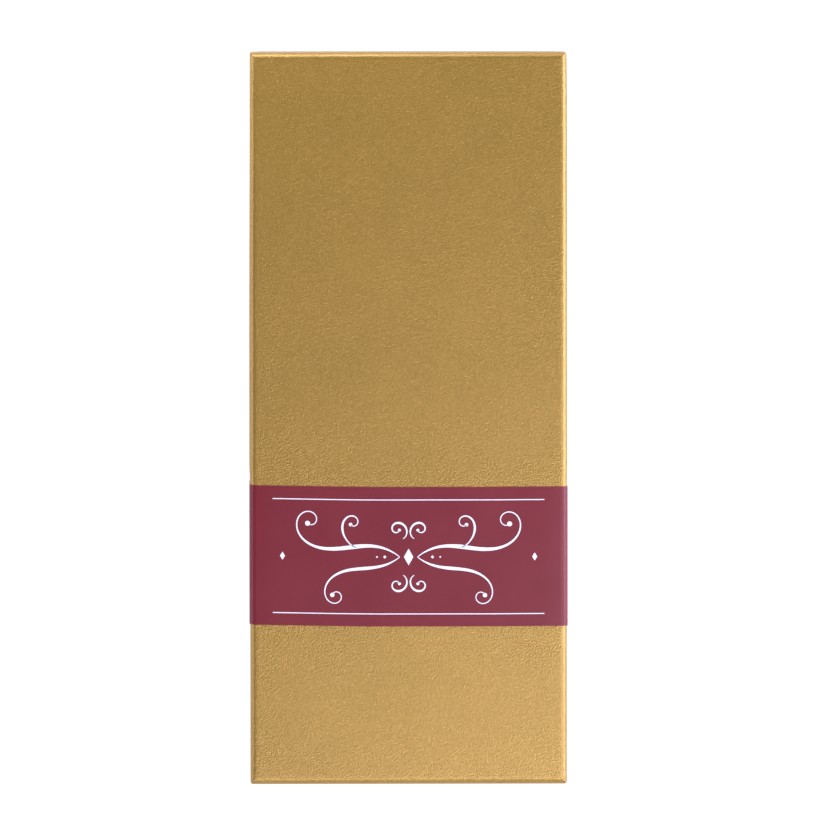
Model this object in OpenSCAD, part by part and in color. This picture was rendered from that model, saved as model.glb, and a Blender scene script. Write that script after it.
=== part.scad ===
// Gift box of a calligraphy set. A two-piece rigid box of wrapped greyboard holds a flocked foam
// insert with a quill pen, spare nibs, an ink bottle and a leaflet. A paper band goes across the
// lid. The closed box lies face up, its length along Y, the centre of its underside at the origin.

/* [Box] */
// Width of the closed box
box_w = 115; // [112:1:150]
// Length of the closed box
box_l = 265; // [220:1:330]
// Height of the closed box
box_h = 38; // [31:1:60]
// Depth of the lid's walls
lid_depth = 30; // [16:1:30]
// Thickness of the greyboard
board_t = 1.6; // [1.2:0.1:2]
// Thickness of the covering and lining papers
paper_t = 0.3; // [0.2:0.05:0.4]
// Radius of the rounding from the walls into a tray's face
edge_r = 2.3; // [1.2:0.1:2.6]
// Radius of the upright corners
corner_r = 1; // [0.6:0.1:2]
// How far the lid's long walls bow out above the band
wall_bow = 0.5; // [0:0.1:1]
// Width of covering paper turned in over a rim
turn_in = 13; // [8:1:15]
// Clearance between the lid's walls and the base, on each side
lid_gap = 0.5; // [0.4:0.1:1]

/* [Band] */
// Width of the band along the box
band_l = 50; // [30:1:70]
// Distance from the box's lower end to the band
band_from_end = 57.5; // [30:0.5:90]
// Thickness of the band
band_t = 0.3; // [0.2:0.05:0.5]
// Clearance between the band and the lid
band_gap = 0.1; // [0.1:0.05:0.3]
// Height at which the band's legs end above the table
band_foot = 1; // [0.5:0.5:6]

/* [Insert] */
// Thickness of the foam
insert_h = 22; // [20:1:24]
// Thickness of the flocked sheet on the foam
cover_t = 0.8; // [0.5:0.1:1.5]
// Clearance between the foam and the base's walls
insert_gap = 0.3; // [0.3:0.1:1]
// Clearance between a piece and the foam that it lies in
piece_gap = 0.4; // [0.3:0.1:0.8]
// Radius of the finger notches
finger_r = 9; // [7:0.5:9]
// Distance from the insert's ends to the recesses
end_margin = 4; // [3:0.5:8]
// Distance between recesses that follow one another
recess_step = 11; // [10:1:14]

/* [Pen] */
// Distance from the insert's left edge to the pen's axis
pen_from_side = 23.6; // [22:0.1:26]
// Depth of the pen's axis below the insert's surface
pen_sink = 3.2; // [2.5:0.1:4]
// Length of the holder, from its mouth to the feather
holder_l = 60; // [50:1:75]
// Largest radius of the holder
holder_r = 5.5; // [5.2:0.1:6]
// Length of each ferrule on the holder
ferrule_l = 10; // [9:1:14]
// Radius of the quill where it enters the holder
quill_r = 2.2; // [1.8:0.1:2.4]
// Radius of the quill at the feather's tip
quill_tip_r = 0.4; // [0.3:0.1:0.6]
// Length of quill inside the holder
quill_seat = 12; // [11:1:16]
// Bare length of quill between the holder and the vanes
quill_bare = 20; // [10:1:40]
// How far the feather bends to the right at its tip
quill_bend = 8; // [0:1:10]
// Width of the feather's narrow left vane
vane_left_w = 13; // [8:1:14]
// Width of the feather's broad right vane
vane_right_w = 21; // [14:1:22]
// Thickness of the vanes
vane_t = 0.8; // [0.5:0.1:1]

/* [Nibs] */
// Length of a nib
nib_l = 28; // [24:1:32]
// Radius of the nib's curved sheet
nib_r = 3.1; // [2.8:0.1:3.8]
// Thickness of the nib's steel
nib_t = 0.3; // [0.2:0.05:0.4]
// Half the width of the nib's body
nib_half_w = 2.6; // [2.2:0.1:2.6]
// Length of nib inside the ferrule
nib_seat = 8; // [6:0.5:9]
// Room in front of the nib, to draw it out
nib_room = 10; // [9.5:0.5:14]
// Running clearance of the nib in its ferrule
nib_play = 0.1; // [0.05:0.01:0.1]
// Width of the nib's slit
slit_w = 0.12; // [0.1:0.01:0.2]
// Radius of the nib's breather hole
breather_r = 0.8; // [0.5:0.1:1]
// Width of the tip of the nib in the pen
pen_tip_w = 0.6; // [0.4:0.1:1]
// Width of the narrowest spare tip
spare_tip_w = 1.1; // [0.8:0.1:1.5]
// Step in width from one spare tip to the next
spare_tip_step = 0.45; // [0.2:0.05:0.5]
// Distance between spare nibs
spare_pitch = 9.5; // [9:0.1:10]
// Depth of the slots for the spare nibs
spare_depth = 3.5; // [3:0.5:6]

/* [Ink bottle] */
// Radius of the bottle
bottle_r = 13; // [11:0.5:16]
// Length of the bottle's body up to its shoulder
bottle_body = 25; // [20:1:30]
// Radius of the bottle's neck
neck_r = 7.6; // [6:0.1:8]
// Length of the bottle's neck
neck_l = 8.5; // [8:0.5:10]
// Thickness of the glass
glass_t = 1.6; // [1.2:0.1:2]
// Wall of the cap
cap_t = 1.4; // [1:0.1:2]
// Clearance between the cap and the neck
cap_gap = 0.3; // [0.2:0.05:0.4]
// Number of grip grooves round the cap
cap_grooves = 30; // [20:1:40]
// Length that the cap moves to come off its thread
cap_rise = 3.75; // [2:0.25:4]
// Depth of air over the ink as the bottle lies
air_depth = 3; // [1:0.5:3.5]
// Distance from the insert's right edge to the bottle's axis
kit_from_side = 27.6; // [27:0.1:30]

/* [Leaflet] */
// Width of the folded leaflet
leaflet_w = 38; // [30:1:40]
// Thickness of the leaflet's paper
leaflet_t = 0.3; // [0.2:0.05:0.4]
// Distance between the leaflet's panels
leaflet_pitch = 0.7; // [0.6:0.05:1]
// Number of panels
leaflet_panels = 3; // [2:1:4]
// Depth of the leaflet's recess
leaflet_depth = 5; // [4:0.5:8]

/* [Hidden] */

// Counts of steps along curves
corner_steps = 4;
arc_steps = 4;
bow_steps = 14;
curve_steps = 24;
round_fn = 64;
tiny = 0.05;

// Lid and base: skins are counted inwards from the covering paper's outer face
skin_board = paper_t;
skin_inside = paper_t + board_t;
wall_t = 2 * paper_t + board_t;
fold_r = paper_t;
stay_t = 0.12;
stay_reach = 12;
stay_margin = 3;
lid_half_w = box_w / 2 - wall_bow;
lid_half_l = box_l / 2;
lid_rim_z = box_h - lid_depth;
base_half_w = lid_half_w - wall_t - lid_gap;
base_half_l = lid_half_l - wall_t - lid_gap;
base_h = box_h - wall_t - tiny;
band_y = band_from_end - lid_half_l;
bow_y0 = band_y + band_l;

// A tray is its half width, half length, bow, and the heights of its face and its rim
lid_tray = [lid_half_w, lid_half_l, wall_bow, box_h, lid_rim_z];
base_tray = [base_half_w, base_half_l, 0, base_h, 0];

// Insert
floor_z = wall_t;
insert_w = 2 * (base_half_w - wall_t - insert_gap);
insert_l = 2 * (base_half_l - wall_t - insert_gap);
insert_r = 2;
cover_z = floor_z + insert_h;
surface_z = cover_z + cover_t;

// Pen, from the nib's end to the feather's tip
pen_x = pen_from_side - insert_w / 2;
pen_z = surface_z - pen_sink;
pen_y0 = end_margin - insert_l / 2;
mouth_y = pen_y0 + nib_room + nib_l - nib_seat;
holder_end = mouth_y + holder_l;
quill_end = insert_l / 2 - end_margin - 2 * piece_gap;
vane_y0 = holder_end + quill_bare;
vane_l = quill_end - vane_y0;
bore_r = nib_r + nib_play;
clip_r = nib_r - nib_t - nib_play;
clip_t = 0.6;
ferrule_r = bore_r + 1.3;
quill_bore_r = quill_r + 0.1;
pen_floor = pen_z - holder_r - piece_gap;
feather_floor = pen_z - quill_r - piece_gap;

// Right column: the bottle, then the spare nibs, then the leaflet
kit_x = insert_w / 2 - kit_from_side;
bottle_z = floor_z + tiny + bottle_r;
shoulder_l = bottle_r - neck_r;
neck_end = bottle_body + shoulder_l + neck_l;
liner_t = 1;
cap_r = neck_r + cap_gap + cap_t;
bead_r = 0.4;
cap_s0 = neck_end - neck_l + 3 * bead_r;
cap_s1 = neck_end + liner_t + 2 * tiny + cap_t;
bottle_y0 = end_margin + 3 - insert_l / 2;
bottle_y = bottle_y0 + piece_gap;
bottle_y1 = bottle_y + cap_s1 + cap_rise + 2 * piece_gap;
spare_y0 = bottle_y1 + recess_step;
spare_y1 = spare_y0 + nib_l + 2 * piece_gap;
spare_floor = surface_z - spare_depth;
nib_low = sqrt(pow(nib_r - nib_t, 2) - pow(nib_half_w, 2));
leaflet_y0 = spare_y1 + recess_step;
leaflet_y1 = insert_l / 2 - end_margin - 3;
leaflet_l = leaflet_y1 - leaflet_y0 - 2 * piece_gap;
leaflet_floor = surface_z - leaflet_depth;

// Colours
gold = "#b9975a";
burgundy = "#8b3945";
greyboard = "#8f8a80";
cream = "#ece4d2";
flock = "#2b1a1d";
brass = "#b08d4a";
steel = "#a9adb0";

function reversed(list) = [for (i = [len(list) - 1:-1:0]) list[i]];

// How far a lid's long wall stands out at y, from the band to the lid's upper end
function bow_at(tray, y) =
  let (u = (y - bow_y0) / (tray[1] - bow_y0))
  u > 0 && u < 1 ? tray[2] * (1 - cos(360 * u)) / 2 : 0;

function corner_arc(tray, k, sx, sy, start) =
  let (r = max(corner_r - k, fold_r), cx = sx * (tray[0] - k - r), cy = sy * (tray[1] - k - r))
  [for (i = [0:corner_steps]) let (a = start + 90 * i / corner_steps)
    [cx + r * cos(a), cy + r * sin(a)]];

function long_side(tray, k, side) =
  let (steps = tray[2] > 0 ? bow_steps : 1, end = tray[1] - 3 * edge_r)
  [for (i = [0:steps]) let (y = side * end * (2 * i / steps - 1))
    [side * (tray[0] - k + bow_at(tray, y)), y]];

// A tray's outline at an inset of k from its outer face, anticlockwise seen from above
function skin(tray, k) = concat(
  corner_arc(tray, k, 1, -1, -90), long_side(tray, k, 1), corner_arc(tray, k, 1, 1, 0),
  corner_arc(tray, k, -1, 1, 90), long_side(tray, k, -1), corner_arc(tray, k, -1, -1, 180)
);

// Steps of [inset, height] round the edge of a tray's face, from its wall to its face
function face_edge(tray, k) =
  let (r = max(edge_r - k, fold_r))
  [for (i = [0:arc_steps]) let (a = 90 * i / arc_steps)
    [k + r * (1 - cos(a)), tray[3] - k - r * (1 - sin(a))]];

// A closed sheet that follows a tray's outline along steps of [inset, height]
module folded_sheet(tray, steps) {
  n = len(skin(tray, 0));
  last = len(steps) - 1;
  points = [for (s = steps) for (p = skin(tray, s[0])) [p[0], p[1], s[1]]];
  sides = [for (i = [0:last - 1]) for (j = [0:n - 1]) let (
      a = i * n + j, b = i * n + (j + 1) % n)
    each [[a, a + n, b + n], [a, b + n, b]]];
  inner_cap = [for (j = [0:n - 1]) j];
  outer_cap = [for (j = [n - 1:-1:0]) last * n + j];
  polyhedron(points, concat([inner_cap], sides, [outer_cap]), convexity = 6);
}

// Covering paper: over the face, down the walls, round the rim and up inside
module wrap_of(tray) {
  rim = tray[4];
  folded_sheet(tray, concat(
    reversed(face_edge(tray, skin_board)),
    [[skin_board, rim + paper_t], [skin_inside, rim + paper_t],
     [skin_inside, rim + turn_in], [wall_t, rim + turn_in],
     [wall_t, rim + fold_r], [wall_t - fold_r, rim], [fold_r, rim], [0, rim + fold_r]],
    face_edge(tray, 0)));
}

// Paper stays glued round the board's upright corners
module stays_of(tray) {
  translate([0, 0, tray[4] + stay_margin])
    linear_extrude(tray[3] - tray[4] - 2 * stay_margin)
      for (sx = [-1, 1], sy = [-1, 1])
        intersection() {
          difference() {
            polygon(skin(tray, skin_board));
            polygon(skin(tray, skin_board + stay_t));
          }
          translate([sx * tray[0], sy * tray[1]])
            square(2 * stay_reach, center = true);
        }
}

module board_of(tray) {
  difference() {
    folded_sheet(tray, concat(
      reversed(face_edge(tray, skin_inside)),
      [[skin_inside, tray[4] + paper_t], [skin_board, tray[4] + paper_t]],
      face_edge(tray, skin_board)));
    stays_of(tray);
  }
}

module lining_of(tray) {
  folded_sheet(tray, concat(
    reversed(face_edge(tray, wall_t)),
    [[wall_t, tray[4] + turn_in], [skin_inside, tray[4] + turn_in]],
    face_edge(tray, skin_inside)));
}

// The base is a tray turned over, with its face on the table
module as_base() {
  translate([0, 0, base_h])
    mirror([0, 0, 1])
      children();
}

module base_board() {
  color(greyboard)
    as_base()
      board_of(base_tray);
}

module base_wrap() {
  color(gold)
    as_base()
      wrap_of(base_tray);
}

module base_lining() {
  color(cream)
    as_base()
      lining_of(base_tray);
}

module base_corner_stays() {
  color(cream)
    as_base()
      stays_of(base_tray);
}

module lid_board() {
  color(greyboard)
    board_of(lid_tray);
}

module lid_wrap() {
  color(gold)
    wrap_of(lid_tray);
}

module lid_lining() {
  color(cream)
    lining_of(lid_tray);
}

module lid_corner_stays() {
  color(cream)
    stays_of(lid_tray);
}

// Section across the lid with both legs, grown outwards by a distance
module lid_section(grow) {
  r = edge_r + grow;
  half_w = lid_half_w + grow;
  top = box_h + grow;
  translate([-half_w, 0])
    square([2 * half_w, top - r]);
  translate([r - half_w, 0])
    square([2 * (half_w - r), top]);
  for (side = [-1, 1])
    translate([side * (half_w - r), top - r])
      circle(r, $fn = round_fn);
}

module band() {
  color(burgundy)
    translate([0, band_y + band_l, 0])
      rotate([90, 0, 0])
        linear_extrude(band_l)
          difference() {
            lid_section(band_gap + band_t);
            lid_section(band_gap);
            translate([-box_w, 0])
              square([2 * box_w, band_foot]);
          }
}

module rounded_rect(w, l, r) {
  square([w - 2 * r, l], center = true);
  square([w, l - 2 * r], center = true);
  for (sx = [-1, 1], sy = [-1, 1])
    translate([sx * (w / 2 - r), sy * (l / 2 - r)])
      circle(r, $fn = round_fn);
}

// A recess between two heights along Y, with an x position and a width
module recess(x, w, y0, y1, r) {
  translate([x, (y0 + y1) / 2])
    rounded_rect(w, y1 - y0, r);
}

module finger_notches(x, half_w, y) {
  for (side = [-1, 1])
    translate([x + side * half_w, y])
      circle(finger_r, $fn = round_fn);
}

// The feather, by its place from 0 at the vanes' foot to 1 at the tip
function vane_shape(u) = pow(u, 0.45) * pow(1 - pow(u, 5), 0.6);
function quill_u(y) = max(0, (y - holder_end) / (quill_end - holder_end));
function quill_x(y) = pen_x + quill_bend * pow(quill_u(y), 2);
function quill_r_at(y) = quill_r + (quill_tip_r - quill_r) * quill_u(y);
function vane_y(i) = vane_y0 + vane_l * i / curve_steps;

// Edges of a vane: the inner one along the quill, and the outer one grown by a distance
function vane_inner(side) = [for (i = [0:curve_steps]) let (y = vane_y(i))
  [quill_x(y) + side * (quill_r_at(y) + tiny), y]];
function vane_outer(side, w, grow) = [for (i = [0:curve_steps]) let (y = vane_y(i))
  [quill_x(y) + side * (quill_r_at(y) + 4 * tiny + w * vane_shape(i / curve_steps) + grow), y]];

module pen_recess() {
  half_w = holder_r + piece_gap;
  recess(pen_x, 2 * half_w, pen_y0, holder_end + piece_gap, 1.5);
  finger_notches(pen_x, half_w, mouth_y + holder_l / 2);
}

// The feather's recess follows its outline at a little distance, with a round end
module feather_recess() {
  margin = 2 * piece_gap;
  half_w = quill_r + piece_gap + margin;
  recess(pen_x, 2 * half_w, holder_end - 3, vane_y0 + 3, 1);
  polygon(concat(vane_outer(1, vane_right_w, margin),
    reversed(vane_outer(-1, vane_left_w, margin))));
  translate([quill_x(quill_end), quill_end])
    circle(quill_tip_r + margin, $fn = 24);
}

module bottle_recess() {
  half_w = bottle_r + piece_gap;
  recess(kit_x, 2 * half_w, bottle_y0, bottle_y1, 2);
  finger_notches(kit_x, half_w, bottle_y + bottle_body / 2);
}

module spare_recesses() {
  for (i = [0:4])
    recess(spare_x(i), 2 * (nib_half_w + piece_gap), spare_y0, spare_y1, 1);
}

module leaflet_recess() {
  recess(kit_x, leaflet_w + 2 * piece_gap, leaflet_y0, leaflet_y1, 1);
  translate([kit_x, leaflet_y0])
    circle(finger_r, $fn = round_fn);
}

module insert_foam() {
  color(flock)
    difference() {
      translate([0, 0, floor_z])
        linear_extrude(insert_h)
          rounded_rect(insert_w, insert_l, insert_r);
      translate([0, 0, pen_floor])
        linear_extrude(box_h)
          pen_recess();
      translate([0, 0, feather_floor])
        linear_extrude(box_h)
          feather_recess();
      linear_extrude(box_h)
        bottle_recess();
      translate([0, 0, spare_floor])
        linear_extrude(box_h)
          spare_recesses();
      translate([0, 0, leaflet_floor])
        linear_extrude(box_h)
          leaflet_recess();
    }
}

module insert_cover() {
  color(flock)
    translate([0, 0, cover_z])
      linear_extrude(cover_t)
        difference() {
          rounded_rect(insert_w, insert_l, insert_r);
          pen_recess();
          feather_recess();
          bottle_recess();
          spare_recesses();
          leaflet_recess();
        }
}

// The quill tapers and bends along the feather, swept ring by ring
module quill_shaft() {
  sides = 8;
  y0 = holder_end - quill_seat;
  ring_ys = [for (i = [0:curve_steps]) y0 + (quill_end - y0) * i / curve_steps];
  points = [for (y = ring_ys) for (j = [0:sides - 1]) let (a = 360 * j / sides)
    [quill_x(y) + quill_r_at(y) * cos(a), y, pen_z + quill_r_at(y) * sin(a)]];
  faces = [for (i = [0:curve_steps - 1]) for (j = [0:sides - 1]) let (
      a = i * sides + j, b = i * sides + (j + 1) % sides)
    each [[a, b, b + sides], [a, b + sides, a + sides]]];
  foot = [for (j = [sides - 1:-1:0]) j];
  tip = [for (j = [0:sides - 1]) curve_steps * sides + j];
  color("#efe6cf")
    polyhedron(points, concat([foot], faces, [tip]), convexity = 4);
}

module vane(side, w) {
  color("#f4f1e8")
    translate([0, 0, pen_z - vane_t / 2])
      linear_extrude(vane_t)
        polygon(concat(vane_inner(side), reversed(vane_outer(side, w, 0))));
}

module quill_vane_left() {
  vane(-1, vane_left_w);
}

module quill_vane_right() {
  vane(1, vane_right_w);
}

// Puts a piece turned about Z on the pen's axis, from the holder's mouth towards the feather
module on_pen() {
  translate([pen_x, mouth_y, pen_z])
    rotate([-90, 0, 0])
      children();
}

// Radius of the turned wood: a grip and a barrel swell on each side of a waist
function turned_r(s) = ferrule_r
  + (holder_r - ferrule_r) * pow(sin(360 * (s - ferrule_l) / (holder_l - 2 * ferrule_l)), 2);

module pen_holder() {
  wood_l = holder_l - 2 * ferrule_l;
  profile = [for (i = [0:curve_steps]) let (s = ferrule_l + wood_l * i / curve_steps)
    [turned_r(s), s]];
  color("#2a201c")
    on_pen()
      difference() {
        rotate_extrude($fn = round_fn) {
          polygon(concat([[0, ferrule_l]], profile, [[0, holder_l - ferrule_l]]));
          translate([ferrule_r - 0.4, holder_l / 2])
            circle(1, $fn = 24);
        }
        translate([0, 0, holder_l - quill_seat - tiny])
          cylinder(h = quill_seat, r = quill_bore_r, $fn = round_fn);
      }
}

// A ferrule is a tube with a bead, and the same radius as the wood that it meets
module ferrule(r_in, bead_s) {
  rotate_extrude($fn = round_fn)
    difference() {
      union() {
        translate([r_in, 0])
          square([ferrule_r - r_in, ferrule_l]);
        translate([ferrule_r, bead_s])
          circle(0.6, $fn = 24);
      }
      translate([0, -1])
        square([r_in, ferrule_l + 2]);
    }
}

module nib_ferrule() {
  color(brass)
    on_pen()
      ferrule(bore_r, ferrule_l - 1);
}

module quill_ferrule() {
  color(brass)
    on_pen()
      translate([0, 0, holder_l - ferrule_l])
        ferrule(quill_bore_r, 1);
}

// Split sleeve that holds the nib against the ferrule's bore
module nib_clip() {
  color(steel)
    on_pen()
      difference() {
        translate([0, 0, 0.5])
          cylinder(h = ferrule_l - 0.5, r = clip_r, $fn = round_fn);
        cylinder(h = ferrule_l + 1, r = clip_r - clip_t, $fn = round_fn);
        translate([-0.5, 0, 0])
          cube([1, nib_r, ferrule_l + 1]);
      }
}

// Half the width of a nib at a distance from its heel: straight, then drawn in to the tip
function nib_half(s, tip_w) =
  let (u = max(0, (s - nib_l * 0.55) / (nib_l * 0.45)))
  tip_w / 2 + (nib_half_w - tip_w / 2) * pow(1 - u, 1.4);

// A nib is a curved sheet cut to an outline, with a breather hole and a slit to the tip
module nib(tip_w) {
  breather_s = nib_l * 0.6;
  edge = [for (i = [0:curve_steps]) let (s = nib_l * i / curve_steps) [nib_half(s, tip_w), s]];
  mirrored = [for (p = reversed(edge)) [-p[0], p[1]]];
  difference() {
    intersection() {
      difference() {
        cylinder(h = nib_l, r = nib_r, $fn = round_fn);
        translate([0, 0, -1])
          cylinder(h = nib_l + 2, r = nib_r - nib_t, $fn = round_fn);
      }
      translate([0, nib_r + 1, 0])
        rotate([90, 0, 0])
          linear_extrude(nib_r + 1)
            polygon(concat(edge, mirrored));
    }
    translate([0, 0, breather_s])
      rotate([-90, 0, 0])
        cylinder(h = 2 * nib_r, r = breather_r, $fn = 32);
    translate([-slit_w / 2, 0, breather_s])
      cube([slit_w, 2 * nib_r, nib_l]);
  }
}

// Puts a nib with its heel at y, its crest up and its tip towards the box's lower end
module lay_nib(x, y, z, tip_w) {
  translate([x, y, z])
    rotate([90, 0, 0])
      nib(tip_w);
}

module writing_nib() {
  color(steel)
    lay_nib(pen_x, mouth_y + nib_seat, pen_z, pen_tip_w);
}

function spare_x(i) = kit_x + (i - 2) * spare_pitch;

module spare_nib(i) {
  color(steel)
    lay_nib(spare_x(i), spare_y1 - piece_gap, spare_floor + 2 * tiny - nib_low,
      spare_tip_w + i * spare_tip_step);
}

module spare_nib_1() {
  spare_nib(0);
}

module spare_nib_2() {
  spare_nib(1);
}

module spare_nib_3() {
  spare_nib(2);
}

module spare_nib_4() {
  spare_nib(3);
}

module spare_nib_5() {
  spare_nib(4);
}

// Puts a piece of the bottle on its axis, from the bottle's base towards its cap
module on_bottle() {
  translate([kit_x, bottle_y, bottle_z])
    rotate([-90, 0, 0])
      children();
}

// Half section of the bottle, drawn in by a distance: body, shoulder and neck
module bottle_section(inset) {
  r = bottle_r - inset;
  heel = 2;
  translate([0, inset])
    square([r - heel, bottle_body - inset]);
  translate([0, inset + heel])
    square([r, bottle_body - inset - heel]);
  translate([r - heel, inset + heel])
    circle(heel, $fn = 32);
  intersection() {
    translate([0, bottle_body])
      square([r, r]);
    translate([r - shoulder_l, bottle_body])
      circle(shoulder_l, $fn = round_fn);
  }
  translate([0, bottle_body - tiny])
    square([neck_r - inset, shoulder_l + neck_l + tiny]);
}

module ink_bottle() {
  color([0.75, 0.8, 0.8, 0.5])
    on_bottle()
      rotate_extrude($fn = round_fn)
        difference() {
          union() {
            bottle_section(0);
            translate([neck_r, neck_end - neck_l + bead_r])
              circle(bead_r, $fn = 24);
          }
          bottle_section(glass_t);
          translate([0, neck_end - 1])
            square([neck_r - glass_t, 2]);
          translate([-bottle_r, -1])
            square([bottle_r, neck_end + 2]);
        }
}

// The ink fills the bottle up to a level surface under the glass that is uppermost
module ink() {
  fill = glass_t + 2 * tiny;
  color("#16161c")
    on_bottle()
      difference() {
        rotate_extrude($fn = round_fn)
          intersection() {
            bottle_section(fill);
            square([bottle_r, neck_end - neck_l / 2]);
          }
        translate([-bottle_r, air_depth - bottle_r - bottle_r + glass_t, -1])
          cube([2 * bottle_r, bottle_r, neck_end + 2]);
      }
}

module bottle_cap() {
  groove_r = 0.35;
  color("#1d1d1f")
    on_bottle()
      difference() {
        translate([0, 0, cap_s0])
          linear_extrude(cap_s1 - cap_s0)
            difference() {
              circle(cap_r, $fn = round_fn);
              for (i = [0:cap_grooves - 1])
                rotate(360 * i / cap_grooves)
                  translate([cap_r + groove_r / 3, 0])
                    circle(groove_r, $fn = 16);
            }
        translate([0, 0, cap_s0 - 1])
          cylinder(h = neck_end + liner_t + 2 * tiny - cap_s0 + 1, r = neck_r + cap_gap, $fn = round_fn);
      }
}

module cap_liner() {
  color("#d8d3c6")
    on_bottle()
      translate([0, 0, neck_end + tiny])
        cylinder(h = liner_t, r = neck_r, $fn = round_fn);
}

// Section of the folded leaflet: panels one above the other, joined by round folds
module leaflet_section() {
  fold = (leaflet_pitch + leaflet_t) / 2;
  panel_w = leaflet_w - 2 * fold;
  for (i = [0:leaflet_panels - 1])
    translate([-panel_w / 2, i * leaflet_pitch])
      square([panel_w, leaflet_t]);
  for (i = [0:leaflet_panels - 2]) {
    side = i % 2 == 0 ? 1 : -1;
    translate([side * panel_w / 2, i * leaflet_pitch + fold])
      intersection() {
        difference() {
          circle(fold, $fn = 24);
          circle(fold - leaflet_t, $fn = 24);
        }
        translate([side > 0 ? 0 : -fold, -fold])
          square([fold, 2 * fold]);
      }
  }
}

module leaflet() {
  color("#f3eede")
    translate([kit_x, leaflet_y1 - piece_gap, leaflet_floor + tiny])
      rotate([90, 0, 0])
        linear_extrude(leaflet_l)
          leaflet_section();
}

base_board();
base_wrap();
base_lining();
base_corner_stays();
lid_board();
lid_wrap();
lid_lining();
lid_corner_stays();
band();
insert_foam();
insert_cover();
quill_shaft();
quill_vane_left();
quill_vane_right();
pen_holder();
nib_ferrule();
quill_ferrule();
nib_clip();
writing_nib();
spare_nib_1();
spare_nib_2();
spare_nib_3();
spare_nib_4();
spare_nib_5();
ink_bottle();
ink();
bottle_cap();
cap_liner();
leaflet();
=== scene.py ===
import bpy, bmesh, math, random
from mathutils import Matrix, Vector


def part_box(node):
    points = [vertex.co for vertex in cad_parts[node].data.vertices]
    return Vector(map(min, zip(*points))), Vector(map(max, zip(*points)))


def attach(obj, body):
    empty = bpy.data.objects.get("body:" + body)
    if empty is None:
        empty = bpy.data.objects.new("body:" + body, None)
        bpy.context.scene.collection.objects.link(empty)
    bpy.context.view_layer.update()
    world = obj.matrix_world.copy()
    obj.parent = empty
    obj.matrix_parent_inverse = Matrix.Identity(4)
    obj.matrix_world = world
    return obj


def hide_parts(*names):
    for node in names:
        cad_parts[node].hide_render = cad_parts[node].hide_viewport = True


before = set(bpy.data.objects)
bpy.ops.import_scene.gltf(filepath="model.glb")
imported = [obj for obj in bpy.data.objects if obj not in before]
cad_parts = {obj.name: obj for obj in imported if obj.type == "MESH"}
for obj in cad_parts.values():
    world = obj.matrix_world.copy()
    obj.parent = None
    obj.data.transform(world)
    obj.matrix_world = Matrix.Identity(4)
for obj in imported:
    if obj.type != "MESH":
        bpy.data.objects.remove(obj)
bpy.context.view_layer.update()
mm = 0.001
print("frame loaded:", len(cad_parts), "nodes")

# straight over the closed box with a long lens, a little from its top left; in mm and degrees
view = {"aim": (1.81, 1.78, 38.0), "distance": 5000.0, "fromTop": 2.0, "fromLeft": 0.6,
        "turn": 0.05, "pictureWidth": 298.3, "sensor": 36.0, "near": 100.0, "far": 20000.0}

camera = bpy.data.objects.new("camera", bpy.data.cameras.new("camera"))
bpy.context.scene.collection.objects.link(camera)
back = Vector((-math.tan(math.radians(view["fromLeft"])),
               math.tan(math.radians(view["fromTop"])), 1)).normalized()
aim = Vector(view["aim"]) * mm
camera.location = aim + back * view["distance"] * mm
right = Vector((0, 1, 0)).cross(back).normalized()
across = Matrix((right, back.cross(right), back)).transposed()
turned = Matrix.Rotation(math.radians(-view["turn"]), 3, "Z")
camera.rotation_euler = (across @ turned).to_euler()
camera.data.sensor_width = view["sensor"]
camera.data.lens = view["sensor"] * view["distance"] / view["pictureWidth"]
camera.data.clip_start, camera.data.clip_end = view["near"] * mm, view["far"] * mm
bpy.context.scene.camera = camera
bpy.context.scene.view_settings.view_transform = "Standard"
print("camera set")


def linearColour(hexColour):
    channels = [int(hexColour[i:i + 2], 16) / 255 for i in (1, 3, 5)]
    linear = [c / 12.92 if c <= 0.04045 else ((c + 0.055) / 1.055) ** 2.4 for c in channels]
    return (*linear, 1.0)


def giveInputs(tree, node, inputs):
    # an input is given a value, or the output socket that it is linked from
    for key, value in inputs.items():
        if isinstance(value, bpy.types.NodeSocket):
            tree.links.new(value, node.inputs[key])
        else:
            node.inputs[key].default_value = value


def addNode(tree, kind, inputs=None, **settings):
    node = tree.nodes.new(kind)
    for name, value in settings.items():
        setattr(node, name, value)
    giveInputs(tree, node, inputs or {})
    return node


def startMaterial(name):
    material = bpy.data.materials.new(name)
    material.use_nodes = True
    tree = material.node_tree
    tree.nodes.clear()
    shader = addNode(tree, "ShaderNodeBsdfPrincipled")
    addNode(tree, "ShaderNodeOutputMaterial", {"Surface": shader.outputs[0]})
    return material, tree, shader, addNode(tree, "ShaderNodeTexCoord").outputs["Object"]


def grainOf(tree, place, size, detail=2.0, roughness=0.5, stretch=(1, 1, 1)):
    # lumps of a real size in mm, longer along an axis where stretch is below 1
    if stretch != (1, 1, 1):
        place = addNode(tree, "ShaderNodeMapping", {"Vector": place, "Scale": stretch}).outputs[0]
    return addNode(tree, "ShaderNodeTexNoise", {
        "Vector": place, "Scale": 1000 / size, "Detail": detail, "Roughness": roughness}).outputs[0]


def between(tree, factor, low, high, fromLow=0.3, fromHigh=0.7):
    # a colour or a number that goes from low to high as the factor does
    isColour = isinstance(low, str)
    spread = addNode(tree, "ShaderNodeMapRange", {
        "Value": factor, "From Min": fromLow, "From Max": fromHigh,
        "To Min": 0.0 if isColour else low, "To Max": 1.0 if isColour else high}).outputs[0]
    if not isColour:
        return spread
    return addNode(tree, "ShaderNodeMix", {0: spread, 6: linearColour(low),
                                           7: linearColour(high)}, data_type="RGBA").outputs[2]


def laidOver(tree, tone, colour, pattern, *shares):
    # a second colour over a tone, with a share that follows a pattern
    share = between(tree, pattern, *shares)
    return addNode(tree, "ShaderNodeMix", {0: share, 6: tone, 7: linearColour(colour)},
                   data_type="RGBA").outputs[2]


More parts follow.
